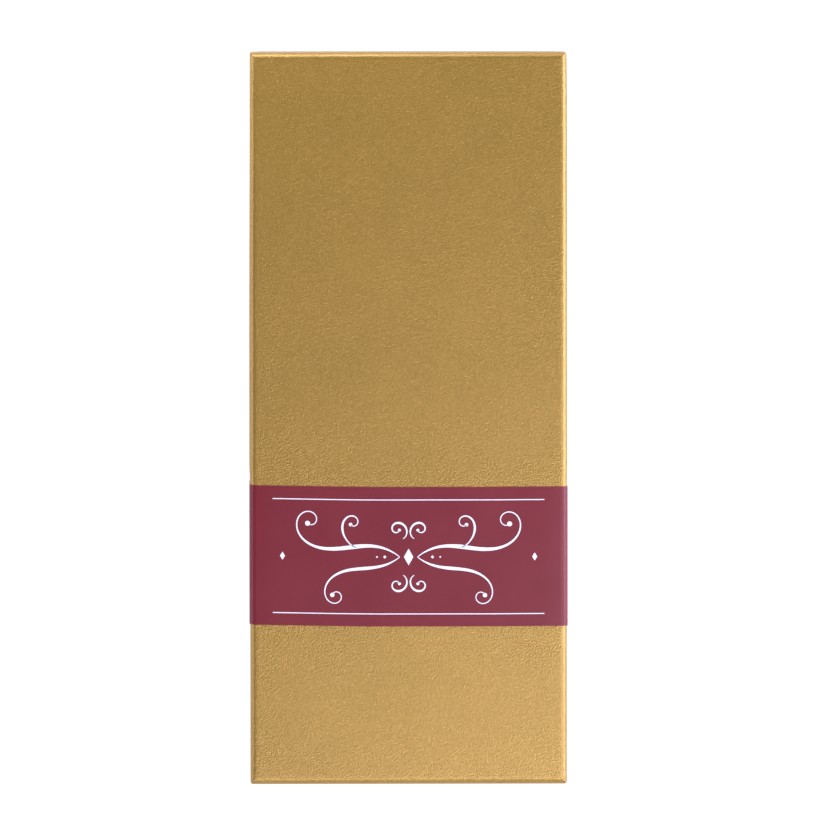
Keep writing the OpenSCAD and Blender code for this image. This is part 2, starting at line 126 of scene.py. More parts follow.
def bumped(tree, shader, layers):
    # layers of (height, depth in mm, strength)
    normal = None
    for height, depth, strength in layers:
        inputs = {"Height": height, "Distance": depth * mm, "Strength": strength}
        if normal:
            inputs["Normal"] = normal
        normal = addNode(tree, "ShaderNodeBump", inputs).outputs[0]
    tree.links.new(normal, shader.inputs["Normal"])


# points closer than this are one, in mm
mergeAt = 0.001


def reworked(mesh, source=None, merge=True, outwards=True):
    # a mesh with its doubles merged and its faces turned outwards
    shape = bmesh.new()
    shape.from_mesh(source or mesh)
    if merge:
        bmesh.ops.remove_doubles(shape, verts=shape.verts, dist=mergeAt * mm)
    if outwards:
        bmesh.ops.recalc_face_normals(shape, faces=shape.faces)
    shape.to_mesh(mesh)
    shape.free()
    return mesh


def mergedCopy(node):
    # a node's mesh with its loose triangles joined, for a smooth piece in its place
    return reworked(bpy.data.meshes.new(node + "Copy"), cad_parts[node].data, outwards=False)


def finishPiece(name, mesh, materials, body, replaced=(), sharp=35, faceSlots=None):
    # sharp is the angle in degrees from which an edge isn't smoothed over
    for material in materials:
        mesh.materials.append(material)
    if faceSlots:
        mesh.polygons.foreach_set("material_index", faceSlots)
    mesh.polygons.foreach_set("use_smooth", [True] * len(mesh.polygons))
    mesh.update()
    mesh.set_sharp_from_angle(angle=math.radians(sharp))
    piece = bpy.data.objects.new(name, mesh)
    bpy.context.scene.collection.objects.link(piece)
    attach(piece, body)
    if replaced:
        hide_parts(*replaced)
    return piece


def meshPiece(name, points, faces, materials, body, replaced):
    # points in mm; their faces are turned outwards once they are together
    mesh = bpy.data.meshes.new(name)
    mesh.from_pydata([Vector(p) * mm for p in points], [], faces)
    piece = finishPiece(name, mesh, materials, body, replaced)
    reworked(piece.data, merge=False)
    return piece


def startTree(name, sockets):
    # a Geometry Nodes tree with named inputs, given as name: (kind, default)
    tree = bpy.data.node_groups.new(name, "GeometryNodeTree")
    for way in ("INPUT", "OUTPUT"):
        tree.interface.new_socket("Geometry", in_out=way, socket_type="NodeSocketGeometry")
    for socketName, (kind, default) in sockets.items():
        socket = tree.interface.new_socket(socketName, in_out="INPUT",
                                           socket_type="NodeSocket" + kind)
        if default is not None:
            socket.default_value = default
    return tree, addNode(tree, "NodeGroupInput").outputs


def endTree(tree, geometry, material):
    real = addNode(tree, "GeometryNodeRealizeInstances", {"Geometry": geometry}).outputs[0]
    painted = addNode(tree, "GeometryNodeSetMaterial", {"Geometry": real, "Material": material})
    addNode(tree, "NodeGroupOutput", {"Geometry": painted.outputs[0]})


def treeResult(name, startMesh, tree, values):
    # runs a Geometry Nodes tree on a start mesh and gives back the plain mesh that it makes
    holder = bpy.data.objects.new(name, startMesh)
    bpy.context.scene.collection.objects.link(holder)
    modifier = holder.modifiers.new(name, "NODES")
    modifier.node_group = tree
    for item in tree.interface.items_tree:
        if item.item_type == "SOCKET" and item.in_out == "INPUT" and item.name in values:
            modifier[item.identifier] = values[item.name]
    bpy.context.view_layer.update()
    evaluated = holder.evaluated_get(bpy.context.evaluated_depsgraph_get())
    made = bpy.data.meshes.new_from_object(evaluated)
    holder.modifiers.remove(modifier)
    bpy.data.objects.remove(holder)
    return made


# pearlescent gold covering paper, pressed with a fine leather grain: a soft metallic glow,
# broken by small pebbles; sizes and depths in mm
goldPaperLook = {"gold": "#bf9542", "olive": "#ab8637", "amber": "#c59844", "metal": 0.5,
                 "rough": (0.20, 0.28), "grain": 0.58, "crease": 0.07, "pull": 1.9, "pullBy": 0.8,
                 "wander": 0.8, "drift": 34.0, "driftDepth": 0.5, "flake": 0.36, "flakeDepth": 0.14}


def goldPaper():
    look = goldPaperLook
    material, tree, shader, place = startMaterial("goldLeatherGrainPaper")
    pull = addNode(tree, "ShaderNodeTexNoise", {"Vector": place, "Scale": 1000 / look["pull"],
                                                "Detail": 1.0}).outputs[1]
    pull = addNode(tree, "ShaderNodeVectorMath", {0: pull, "Scale": look["pullBy"] * mm},
                   operation="SCALE").outputs[0]
    pulled = addNode(tree, "ShaderNodeVectorMath", {0: place, 1: pull}, operation="ADD").outputs[0]
    pebbles = addNode(tree, "ShaderNodeTexVoronoi", {
        "Vector": pulled, "Scale": 1000 / look["grain"], "Smoothness": 0.5},
        feature="SMOOTH_F1").outputs[0]
    domes = between(tree, pebbles, 1.0, 0.0, fromLow=0.0, fromHigh=0.7)
    # flakes of pearl pigment, drawn coarse enough to show
    flakes = grainOf(tree, place, look["flake"], detail=2, roughness=0.7)
    wander = grainOf(tree, place, look["wander"])
    drift = grainOf(tree, place, look["drift"])
    tone = laidOver(tree, linearColour(look["olive"]), look["gold"], wander, 0.0, 1.0)
    tone = laidOver(tree, tone, look["amber"], drift, 0.0, 0.4)
    # painted shade: the creases between the pebbles are darkened towards olive, as shade would fall
    # in them
    tone = laidOver(tree, tone, look["olive"], domes, 0.5, 0.0, 0.1, 0.5)
    giveInputs(tree, shader, {"Base Color": tone, "Metallic": look["metal"],
                              "Roughness": between(tree, flakes, *look["rough"]),
                              "Specular IOR Level": 1.0})
    bumped(tree, shader, [(drift, look["driftDepth"], 0.2), (domes, look["crease"], 0.7),
                          (flakes, look["flakeDepth"], 0.7)])
    return material


# uncoated cream lining paper: flat and matt, with a faint cloud of fibres
def liningPaper(name, light, dark, fibre=0.8):
    material, tree, shader, place = startMaterial(name)
    fibres = grainOf(tree, place, fibre, detail=4, roughness=0.65, stretch=(1, 0.35, 1))
    giveInputs(tree, shader, {"Base Color": between(tree, fibres, dark, light),
                              "Roughness": between(tree, fibres, 0.82, 0.95),
                              "Specular IOR Level": 0.25})
    bumped(tree, shader, [(fibres, 0.03, 0.4)])
    return material


# matt coated burgundy paper: even colour with a soft sheen and hardly any tooth
def burgundyPaper():
    material, tree, shader, place = startMaterial("mattCoatedBurgundyPaper")
    cloud = grainOf(tree, place, size=18, detail=3)
    tooth = grainOf(tree, place, size=0.45, detail=3, roughness=0.7)
    tone = laidOver(tree, between(tree, cloud, "#781c27", "#7e222c"), "#842933", tooth, 0.0, 0.35)
    giveInputs(tree, shader, {"Base Color": tone, "Roughness": between(tree, tooth, 0.31, 0.39),
                              "Specular IOR Level": 0.45})
    bumped(tree, shader, [(cloud, 0.25, 0.3), (tooth, 0.012, 0.3)])
    return material


# the band's cut edge shows the paper's pale core
def cutEdge():
    material, tree, shader, place = startMaterial("cutPaperEdge")
    fibres = grainOf(tree, place, size=0.3, detail=3, roughness=0.7)
    giveInputs(tree, shader, {"Base Color": between(tree, fibres, "#c3878b", "#dcb4b4"),
                              "Roughness": 0.9})
    return material


# opaque printing ink: a little worn, and duller than the paper's coating
def printInk(name, light, dark):
    material, tree, shader, place = startMaterial(name)
    wear = grainOf(tree, place, size=0.6, detail=3, roughness=0.7)
    giveInputs(tree, shader, {"Base Color": between(tree, wear, dark, light),
                              "Roughness": between(tree, wear, 0.38, 0.5)})
    return material


# grey chipboard of recycled paper: matt, with darker and paler specks
def greyboard():
    material, tree, shader, place = startMaterial("greyChipboard")
    specks = grainOf(tree, place, size=0.7, detail=4, roughness=0.75)
    giveInputs(tree, shader, {"Base Color": between(tree, specks, "#7d776c", "#a09a8d"),
                              "Roughness": 0.95})
    bumped(tree, shader, [(specks, 0.08, 0.5)])
    return material


# rayon flock on the insert: very dark and matt, with a pale bloom where it is seen sidelong
def flock():
    material, tree, shader, place = startMaterial("rayonFlock")
    pile = grainOf(tree, place, size=0.35, detail=3, roughness=0.8)
    brushed = grainOf(tree, place, size=14, detail=3)
    tone = laidOver(tree, between(tree, pile, "#241418", "#35202a"), "#2f1b20", brushed, 0.0, 0.6)
    giveInputs(tree, shader, {"Base Color": tone, "Roughness": 1.0, "Specular IOR Level": 0.1,
                              "Sheen Weight": 0.35, "Sheen Roughness": 0.45,
                              "Sheen Tint": linearColour("#8a6a72")})
    bumped(tree, shader, [(pile, 0.18, 0.7)])
    return material


# closed-cell polyethylene foam, die-cut: small open bubbles on its cut faces
def cutFoam():
    material, tree, shader, place = startMaterial("dieCutPolyethyleneFoam")
    bubble = 0.9
    cells = addNode(tree, "ShaderNodeTexVoronoi", {"Vector": place,
                                                   "Scale": 1000 / bubble}).outputs[0]
    # painted shade: each bubble's colour darkens towards its hollow middle and pales at its rim,
    # following the bump
    tone = between(tree, cells, "#191214", "#2b2022", fromLow=0.1, fromHigh=0.6)
    giveInputs(tree, shader, {"Base Color": tone, "Roughness": 0.85})
    bumped(tree, shader, [(cells, 0.2, 0.6)])
    return material


# goose quill: creamy horn, a little clear and waxy, with faint streaks along it
def hornQuill():
    material, tree, shader, place = startMaterial("gooseQuillHorn")
    streaks = grainOf(tree, place, size=0.9, detail=3, roughness=0.6, stretch=(1, 0.06, 1))
    giveInputs(tree, shader, {"Base Color": between(tree, streaks, "#e3d6b4", "#f3ecd8"),
                              "Roughness": between(tree, streaks, 0.28, 0.4),
                              "Subsurface Weight": 0.15, "Subsurface Scale": 2 * mm,
                              "Subsurface Radius": (1.0, 0.7, 0.45)})
    bumped(tree, shader, [(streaks, 0.03, 0.4)])
    return material


# goose feather: warm white barbs with a silky gloss along them
def featherBarbs():
    material, tree, shader, place = startMaterial("gooseFeatherBarbs")
    along = grainOf(tree, place, size=6, detail=3)
    fine = grainOf(tree, place, size=0.5, detail=3, roughness=0.7)
    tone = laidOver(tree, between(tree, along, "#ece7da", "#f6f3ec"), "#ddd5c4", fine, 0.0, 0.35)
    giveInputs(tree, shader, {"Base Color": tone, "Roughness": 0.6, "Sheen Weight": 0.3,
                              "Sheen Roughness": 0.4})
    bumped(tree, shader, [(fine, 0.03, 0.4)])
    return material


# turned beech, stained nearly black and lacquered: straight grain under a clear gloss
def lacqueredWood():
    material, tree, shader, place = startMaterial("ebonisedBeech")
    grain = grainOf(tree, place, size=0.8, detail=5, roughness=0.65, stretch=(1, 0.05, 1))
    flecks = grainOf(tree, place, size=0.35, stretch=(1, 0.15, 1))
    tone = laidOver(tree, between(tree, grain, "#1c1411", "#3a2921"), "#120d0b", flecks,
                    0.0, 0.5, 0.55, 0.75)
    giveInputs(tree, shader, {"Base Color": tone, "Roughness": between(tree, grain, 0.32, 0.42),
                              "Coat Weight": 0.8, "Coat Roughness": 0.12})
    bumped(tree, shader, [(grain, 0.03, 0.4)])
    return material


# drawn metal, polished or satin: turning or rolling marks run one way, with a few faint stains
def drawnMetal(name, light, dark, rough, marks, stretch):
    material, tree, shader, place = startMaterial(name)
    lines = grainOf(tree, place, marks, detail=4, roughness=0.7, stretch=stretch)
    stains = grainOf(tree, place, size=5, detail=3)
    tone = laidOver(tree, between(tree, lines, dark, light), dark, stains, 0.0, 0.4)
    giveInputs(tree, shader, {"Base Color": tone, "Metallic": 1.0,
                              "Roughness": between(tree, lines, rough * 0.8, rough * 1.25)})
    bumped(tree, shader, [(lines, 0.01, 0.35)])
    return material


# pressed soda-lime glass: clear, faintly green, with a slight waviness from the mould
def bottleGlass():
    material, tree, shader, place = startMaterial("sodaLimeGlass")
    waves = grainOf(tree, place, size=7)
    giveInputs(tree, shader, {"Base Color": linearColour("#eef5f1"), "Transmission Weight": 1.0,
                              "IOR": 1.52, "Roughness": between(tree, waves, 0.015, 0.05)})
    bumped(tree, shader, [(waves, 0.15, 0.2)])
    return material


# drawing ink: black and wet, blue-black where it is thin
def wetInk():
    material, tree, shader, place = startMaterial("blackDrawingInk")
    swirl = grainOf(tree, place, size=8, detail=3)
    giveInputs(tree, shader, {"Base Color": between(tree, swirl, "#08080d", "#12121b"),
                              "Roughness": between(tree, swirl, 0.04, 0.1), "IOR": 1.34})
    bumped(tree, shader, [(swirl, 0.05, 0.1)])
    return material


# moulded ABS: satin black with a fine spark-eroded texture
def mouldedBlack():
    material, tree, shader, place = startMaterial("mouldedBlackPlastic")
    texture = grainOf(tree, place, size=0.4, detail=3, roughness=0.7)
    giveInputs(tree, shader, {"Base Color": between(tree, texture, "#161618", "#222225"),
                              "Roughness": between(tree, texture, 0.36, 0.5)})
    bumped(tree, shader, [(texture, 0.02, 0.4)])
    return material


gold = goldPaper()
creamLining = liningPaper("creamLiningPaper", "#efe8d8", "#e2d8c3")
kraft = liningPaper("gummedKraftPaper", "#cdb486", "#b79a69", fibre=1.2)
leafletPaper = liningPaper("uncoatedLeafletPaper", "#f4f0e3", "#e9e2cf", fibre=1.0)
burgundy = burgundyPaper()
paleEdge = cutEdge()
whiteInk = printInk("whitePrintInk", "#ffffff", "#f4f5f9")
sepiaInk = printInk("sepiaPrintInk", "#6d4436", "#54332a")
board = greyboard()
flockPile = flock()
foam = cutFoam()
horn = hornQuill()
barbs = featherBarbs()
wood = lacqueredWood()
brass = drawnMetal("polishedBrass", "#d9b871", "#b48f4c", rough=0.2, marks=0.25,
                   stretch=(0.1, 1, 0.1))
steel = drawnMetal("springSteel", "#c3c6c8", "#9fa4a8", rough=0.28, marks=0.3,
                   stretch=(1, 0.08, 1))
glass = bottleGlass()
inkBlack = wetInk()
capBlack = mouldedBlack()
linerFoam = liningPaper("polyethyleneLinerFoam", "#dfdacd", "#cfc9ba", fibre=0.6)
print("materials made")

# the wrapped trays are skins counted inwards from the paper's outer face, in mm, with z from
# the table; the lid's long walls bow outwards, each from bowFrom to its own bowEnd
lidTray = {"halfW": 57.15, "halfL": 132.25, "face": 38.0, "rim": 8.0, "up": 1, "bow": 0.35,
           "bowFrom": -25.0, "bowStart": 6.0, "bowEnd": {1: 12.0, -1: 110.0}, "bowAtFace": 0.4,
           "bowStops": 2.0, "splay": 0.1}
baseTray = {"halfW": 54.3, "halfL": 129.8, "face": 0.0, "rim": 35.75, "up": -1, "bow": 0.0,
            "splay": 0.0}
wrapping = {"paper": 0.3, "board": 1.6, "turnIn": 13.0, "edgeR": 2.3, "cornerR": 1.0,
            "wallMargin": 0.9, "faceMargin": 1.0, "stay": 0.12, "stayReach": 12.0,
            "stayFrom": 3.0, "cornerArea": 4.0, "cornerSteps": 6, "arcSteps": 10, "sideSteps": 56}
# an end's paper lies over the side's, and its cut edges show near both corners
overlay = {"step": 0.1, "from": 3.0, "over": 5.0, "edgeIn": 1.1, "spread": 0.8, "plainIn": 0.9,
           "slant": 0.06, "points": (0.75, 0.5, 0.25, 0.0, -0.25, -0.5, -0.75), "span": 0.9}
foldAngles = (0, 30, 60, 90)
wallHeights = (0.03, 0.1, 0.25, 0.42, 0.58, 0.72, 0.8, 0.86)
paperT, boardT = wrapping["paper"], wrapping["board"]
insideBoard, wallT = paperT + boardT, 2 * paperT + boardT


def smoothStep(t):
    t = max(0.0, min(1.0, t))
    return t * t * (3 - 2 * t)


def bowAt(tray, side, y, down):
    # the long walls stand out from the band to near the far end, most of all at the rim
    if not tray["bow"]:
        return 0.0
    rise = smoothStep((y - tray["bowFrom"]) / tray["bowStart"])
    fall = smoothStep((tray["halfL"] - tray["bowStops"] - y) / tray["bowEnd"][side])
    return tray["bow"] * rise * fall * (tray["bowAtFace"] + (1 - tray["bowAtFace"]) * down)


def trayRing(tray, inset, z, tucked=False):
    # outline at an inset and a height: corners, bowed long sides, and ends that splay
    fromFace = abs(z - tray["face"])
    down = fromFace / abs(tray["rim"] - tray["face"])
    r = max(wrapping["cornerR"] - inset, paperT)
    halfW = tray["halfW"] - inset
    halfL = tray["halfL"] - inset - tray["splay"] * (1 - down)
    step, edgeIn = 0.0, overlay["plainIn"]
    if tucked:
        step = overlay["step"] * smoothStep((fromFace - overlay["from"]) / overlay["over"])
        edgeIn = overlay["edgeIn"] + overlay["spread"] * down
    points = []
    for sx, sy, start in ((1, -1, -90), (1, 1, 0), (-1, 1, 90), (-1, -1, 180)):
        for i in range(wrapping["cornerSteps"] + 1):
            a = math.radians(start + 90 * i / wrapping["cornerSteps"])
            # the side's paper goes round the corner, a sheet's thickness under the end's
            y = sy * (halfL - r) + r * math.sin(a) - sy * step * abs(math.sin(a))
            points.append((sx * (halfW - r) + r * math.cos(a), y))
        if sx == sy:
            low, high, cut = sy * (halfL - step), sy * halfL, halfW - (r + edgeIn)
            points += [(sx * cut, low), (sx * (cut - overlay["slant"]), high)]
            points += [(sx * halfW * k * overlay["span"], high) for k in overlay["points"]]
            points += [(-sx * (cut - overlay["slant"]), high), (-sx * cut, low)]
        else:
            end = tray["halfL"] - 3 * wrapping["edgeR"]
            for i in range(wrapping["sideSteps"] + 1):
                y = sx * end * (2 * i / wrapping["sideSteps"] - 1)
                points.append((sx * (halfW + bowAt(tray, sx, y, down)), y))
    return points


def trayEdge(tray, inset):
    # rounding from the wall to the face, with flat and upright margins so that it shades cleanly
    r = max(wrapping["edgeR"] - inset, paperT)
    up, face = tray["up"], tray["face"]
    rows = [(inset, face - up * (inset + r + wrapping["wallMargin"]))]
    for i in range(wrapping["arcSteps"] + 1):
        a = math.radians(90 * i / wrapping["arcSteps"])
        rows.append((inset + r * (1 - math.cos(a)), face - up * (inset + r * (1 - math.sin(a)))))
    rows.append((inset + r + wrapping["faceMargin"], face - up * inset))
    return rows


def trayShell(name, tray, rows, material, body, node, tuckedFrom=None):
    # rings of the tray's outline, one for each row of (inset, z), closed at both ends
    points, faces = [], []
    rings = [trayRing(tray, inset, z, tuckedFrom is not None and i >= tuckedFrom)
             for i, (inset, z) in enumerate(rows)]
    n, last = len(rings[0]), len(rings) - 1
    for ring, row in zip(rings, rows):
        points += [(x, y, row[1]) for x, y in ring]
    for i in range(last):
        faces += [(i * n + j, i * n + (j + 1) % n, (i + 1) * n + (j + 1) % n, (i + 1) * n + j)
                  for j in range(n)]
    faces.append(tuple(range(n - 1, -1, -1)))
    faces.append(tuple(last * n + j for j in range(n)))
    meshPiece(name, points, faces, [material], body, [node])


def layerRows(tray, inner, outer, z):
    # a plain layer of the tray, from one inset to another, with its rim at z
    return list(reversed(trayEdge(tray, inner))) + [(inner, z), (outer, z)] \
        + trayEdge(tray, outer)


def coverRows(tray):
    # inside the face, down the board, round the rim, up inside, back, and over the outside
    up, rim, face = tray["up"], tray["rim"], tray["face"]
    fold = [(1 - math.cos(math.radians(a)), 1 - math.sin(math.radians(a))) for a in foldAngles]
    boardRim, turnedTo = rim + up * paperT, rim + up * wrapping["turnIn"]
    rows = list(reversed(trayEdge(tray, paperT)))
    rows += [(paperT, boardRim), (insideBoard, boardRim), (insideBoard, turnedTo),
             (wallT, turnedTo)]
    rows += [(wallT - paperT * s, rim + up * paperT * c) for s, c in fold]
    outer = len(rows)
    rows += [(paperT * s, rim + up * paperT * c) for s, c in reversed(fold)]
    rows += [(0.0, rim + (face - rim) * k) for k in wallHeights]
    return rows + trayEdge(tray, 0.0), outer


def makeStays(name, tray, body, node):
    # gummed paper round the board's upright corners, under the covering paper
    points, faces = [], []
    reach, margin = wrapping["stayReach"], tray["up"] * wrapping["stayFrom"]
    cornerX, cornerY = (tray[half] - wrapping["cornerArea"] for half in ("halfW", "halfL"))
    layers = [(z, trayRing(tray, inset, z)) for z in (tray["rim"] + margin, tray["face"] - margin)
              for inset in (paperT, paperT + wrapping["stay"])]
    for sx, sy in ((1, 1), (1, -1), (-1, 1), (-1, -1)):
        first = len(points)
        for z, ring in layers:
            near = [p for p in ring if sx * p[0] > cornerX and sy * p[1] > cornerY]
            near.sort(key=lambda p: sx * p[0] - sy * p[1])
            strip = [(sx * (tray["halfW"] - reach), near[0][1]), *near,
                     (near[-1][0], sy * (tray["halfL"] - reach))]
            points += [(x, y, z) for x, y in strip]
        n = len(strip)
        for a, b in ((0, 1), (1, 3), (3, 2), (2, 0)):
            faces += [(first + a * n + i, first + a * n + i + 1, first + b * n + i + 1,
                       first + b * n + i) for i in range(n - 1)]
        faces += [tuple(first + k * n for k in (0, 1, 3, 2)),
                  tuple(first + k * n + n - 1 for k in (0, 2, 3, 1))]
    meshPiece(name, points, faces, [kraft], body, [node])


rows, outer = coverRows(lidTray)
trayShell("lidCover", lidTray, rows, gold, "lid", "lid_wrap", outer)
trayShell("lidChipboard", lidTray, layerRows(lidTray, insideBoard, paperT, lidTray["rim"] + paperT),
          board, "lid", "lid_board")
trayShell("lidInnerLining", lidTray,
          layerRows(lidTray, wallT, insideBoard, lidTray["rim"] + wrapping["turnIn"]),
          creamLining, "lid", "lid_lining")
rows, outer = coverRows(baseTray)
trayShell("baseCover", baseTray, rows, gold, "base", "base_wrap", outer)
makeStays("lidCornerStays", lidTray, "lid", "lid_corner_stays")
for node, finish in (("base_board", board), ("base_lining", creamLining),
                     ("base_corner_stays", kraft)):
    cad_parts[node].data.materials.clear()
    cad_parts[node].data.materials.append(finish)
print("trays made")

# paper band: a thin sheet swept along the lid's section; it isn't wrapped quite square, so
# both ends of its face lie a little higher up the box, and its left leg is folded askew
paperBand = {"thick": 0.26, "gap": 0.05, "from": -75.1, "to": -24.75, "foot": 1.0, "arcSteps": 10,
             "flatTo": 48, "flatStep": 8, "cuts": 24, "askew": 0.9, "leg": 2.2,
             "leftUp": 0.65, "leftFrom": 8, "leftOver": 60, "leftGain": 1.2,
             "rightUp": 0.15, "rightFrom": 25, "rightOver": 34}


def bandTree():
    tree, given = startTree("sweptBand", {"thick": ("Float", 0.0), "width": ("Float", 0.0),
                                          "cuts": ("Int", 24), "paper": ("Material", None)})
    path = addNode(tree, "GeometryNodeMeshToCurve", {0: given["Geometry"]}).outputs[0]
    profile = addNode(tree, "GeometryNodeCurvePrimitiveQuadrilateral", {
        "Width": given["thick"], "Height": given["width"]}).outputs[0]
    profile = addNode(tree, "GeometryNodeSubdivideCurve", {
        "Curve": profile, "Cuts": given["cuts"]}).outputs[0]
    sheet = addNode(tree, "GeometryNodeCurveToMesh", {
        "Curve": path, "Profile Curve": profile, "Fill Caps": True}).outputs[0]
    endTree(tree, sheet, given["paper"])
    return tree


def bandDrift(x):
    look = paperBand
    left = look["leftUp"] * smoothStep((-x - look["leftFrom"]) / look["leftOver"])
    right = look["rightUp"] * smoothStep((x - look["rightFrom"]) / look["rightOver"])
    return left * look["leftGain"] + right


def makeBand():
    look = paperBand
    out = look["gap"] + look["thick"] / 2
    halfW, top = lidTray["halfW"] + out, lidTray["face"] + out
    middle = (look["from"] + look["to"]) / 2
    r, steps = wrapping["edgeR"] + out, look["arcSteps"]
    angles = [math.radians(90 * i / steps) for i in range(steps + 1)]
    turn = [(r * math.cos(a), r * math.sin(a)) for a in angles]
    line = [(-halfW, look["foot"])] + [(-halfW + r - c, top - r + d) for c, d in turn]
    line += [(x, top) for x in range(-look["flatTo"], look["flatTo"] + 1, look["flatStep"])]
    line += [(halfW - r + c, top - r + d) for c, d in reversed(turn)] + [(halfW, look["foot"])]
    path = bpy.data.meshes.new("bandPath")
    path.from_pydata([Vector((x, middle, z)) * mm for x, z in line],
                     [(i, i + 1) for i in range(len(line) - 1)], [])
    mesh = treeResult("band", path, bandTree(), {
        "thick": look["thick"] * mm, "width": (look["to"] - look["from"]) * mm,
        "cuts": look["cuts"], "paper": burgundy})
    for v in mesh.vertices:
        x = v.co.x / mm
        leg = smoothStep((-x - halfW + look["leg"]) / look["leg"])
        v.co.y += (bandDrift(x) + (look["askew"] - look["leftUp"]) * leg) * mm
    reworked(mesh)
    mesh.materials.clear()
    # the sheet's long edges and its two feet show the pale core
    squareOn, feetUnder = 0.8, 2 * look["foot"] * mm
    cutFaces = [abs(p.normal.y) > squareOn or (p.normal.z < -squareOn and p.center.z < feetUnder)
                for p in mesh.polygons]
    finishPiece("paperBand", mesh, [burgundy, paleEdge], "band", ["band"], sharp=40,
                faceSlots=[int(cut) for cut in cutFaces])


makeBand()


def evenly(keys, t):
    # the value at t of numbers placed evenly from 0 to 1
    s = t * (len(keys) - 1)
    i = min(int(s), len(keys) - 2)
    return keys[i] + (keys[i + 1] - keys[i]) * (s - i)


# printing: a penman's flourish of scrolls, drops and lozenges between two rules
# start, heading, length, bend in degrees a mm along it, width along it, radius of its end's drop
flourish = [
    ((3.2, 0.0), 38, 58, (-3.2, -3.4, -0.6, 2.2, 5.0, 9.0, 17.0, 34.0),
     (0.25, 0.9, 1.5, 1.3, 0.8, 0.5, 0.4, 0.35), 0.9),
    ((3.2, 0.0), -38, 46, (3.6, 3.0, 0.2, -3.2, -6.5, -12.0, -24.0, -40.0),
     (0.25, 0.8, 1.2, 1.0, 0.6, 0.4, 0.35, 0.35), 0.8),
    ((19.0, 3.4), 20, 22, (10.0, 6.0, 9.0, 17.0, 30.0, 44.0),
     (0.25, 0.5, 0.8, 0.6, 0.4, 0.35), 0.65),
    ((2.0, 6.6), 150, 15, (-24.0, -16.0, -20.0, -34.0, -50.0), (0.25, 0.6, 0.8, 0.5, 0.35), 0.55),
    ((2.0, -6.6), -150, 15, (24.0, 16.0, 20.0, 34.0, 50.0), (0.25, 0.6, 0.8, 0.5, 0.35), 0.55),
]
# lozenges as (x, y, half width, half height), with the two rules' lower edges
bandPrinting = {"lozenges": [(0, 0, 1.7, 3.0), (45.5, 0, 0.9, 1.5), (8.6, 0, 0.6, 0.6),
                             (11.4, 0, 0.4, 0.4)],
                "rules": (20.4, -20.75), "ruleTo": 49, "ruleStep": 2, "ruleWidth": 0.35,
                "middle": -50.0, "sunk": 0.002, "film": 0.025}
penSteps, dropSides = 72, 24


def penStroke(start, heading, length, bends, widths, drop):
    (x, y), a = start, math.radians(heading)
    sections = []
    for i in range(penSteps + 1):
        w = evenly(widths, i / penSteps) / 2
        sections.append(((x - w * math.sin(a), y + w * math.cos(a)),
                         (x + w * math.sin(a), y - w * math.cos(a))))
        x += math.cos(a) * length / penSteps
        y += math.sin(a) * length / penSteps
        a += math.radians(evenly(bends, i / penSteps)) * length / penSteps
    return sections, (x, y, drop)


def printedFigures(strokes, lozenges, rules):
    # every figure as a list of outlines, which are flat polygons
    outlines = []
    around = [math.radians(360 / dropSides * k) for k in range(dropSides)]
    for side in (1, -1):
        for stroke in strokes:
            sections, (x, y, drop) = penStroke(*stroke)
            for (a, b), (c, d) in zip(sections, sections[1:]):
                outlines.append([(side * p[0], p[1]) for p in (a, b, d, c)])
            outlines.append([(side * (x + drop * math.cos(a)), y + drop * math.sin(a))
                             for a in around])
        for x, y, w, h in lozenges:
            if x or side == 1:
                outlines.append([(side * (x - w), y), (side * x, y + h), (side * (x + w), y),
                                 (side * x, y - h)])
    for x0, y0, x1, y1 in rules:
        outlines.append([(x0, y0), (x1, y0), (x1, y1), (x0, y1)])
    return outlines


def printPiece(name, outlines, centre, size, z, film, ink, body):
    # flat figures, in mm, become a film of ink of its own thickness
    shape = bmesh.new()
    for outline in outlines:
        loop = [shape.verts.new((centre[0] + x * size, centre[1] + y * size, z))
                for x, y in outline]
        face = shape.faces.new(loop)
        face.normal_update()
        if face.normal.z > 0:
            face.normal_flip()
    bmesh.ops.remove_doubles(shape, verts=shape.verts, dist=mergeAt)
    grown = bmesh.ops.extrude_face_region(shape, geom=shape.faces[:])
    upper = [v for v in grown["geom"] if isinstance(v, bmesh.types.BMVert)]
    bmesh.ops.translate(shape, verts=upper, vec=(0, 0, film))
    bmesh.ops.recalc_face_normals(shape, faces=shape.faces)
    bmesh.ops.scale(shape, verts=shape.verts, vec=(mm, mm, mm))
    mesh = bpy.data.meshes.new(name)
    shape.to_mesh(mesh)
    shape.free()
    finishPiece(name, mesh, [ink], body)


def printBand():
    look = bandPrinting
    rules = [(x, y, x + look["ruleStep"], y + look["ruleWidth"])
             for x in range(-look["ruleTo"], look["ruleTo"], look["ruleStep"])
             for y in look["rules"]]
    figures = [[(x, y + bandDrift(x)) for x, y in outline]
               for outline in printedFigures(flourish, look["lozenges"], rules)]
    top = lidTray["face"] + paperBand["gap"] + paperBand["thick"]
    printPiece("bandPrint", figures, (0, look["middle"]), 1.0, top - look["sunk"], look["film"],
               whiteInk, "band")


printBand()
print("band made")


def softenedCopy(node, edgeAbove, width, segments=3, flatWithin=math.radians(1), rimFrom=0.8):
    # a merged copy of a die-cut sheet, its upper edges rounded over; the angles are in radians
    mesh = mergedCopy(node)
    shape = bmesh.new()
    shape.from_mesh(mesh)
    bmesh.ops.dissolve_limit(shape, angle_limit=flatWithin, verts=shape.verts, edges=shape.edges)
    rims = [e for e in shape.edges
            if all(v.co.z > edgeAbove * mm for v in e.verts) and e.calc_face_angle(0) > rimFrom]
    bmesh.ops.bevel(shape, geom=rims, offset=width * mm, segments=segments, profile=0.5,
                    affect="EDGES", clamp_overlap=True)
    bmesh.ops.triangulate(shape, faces=[f for f in shape.faces if len(f.verts) > 4])
    shape.to_mesh(mesh)
    shape.free()
    return mesh


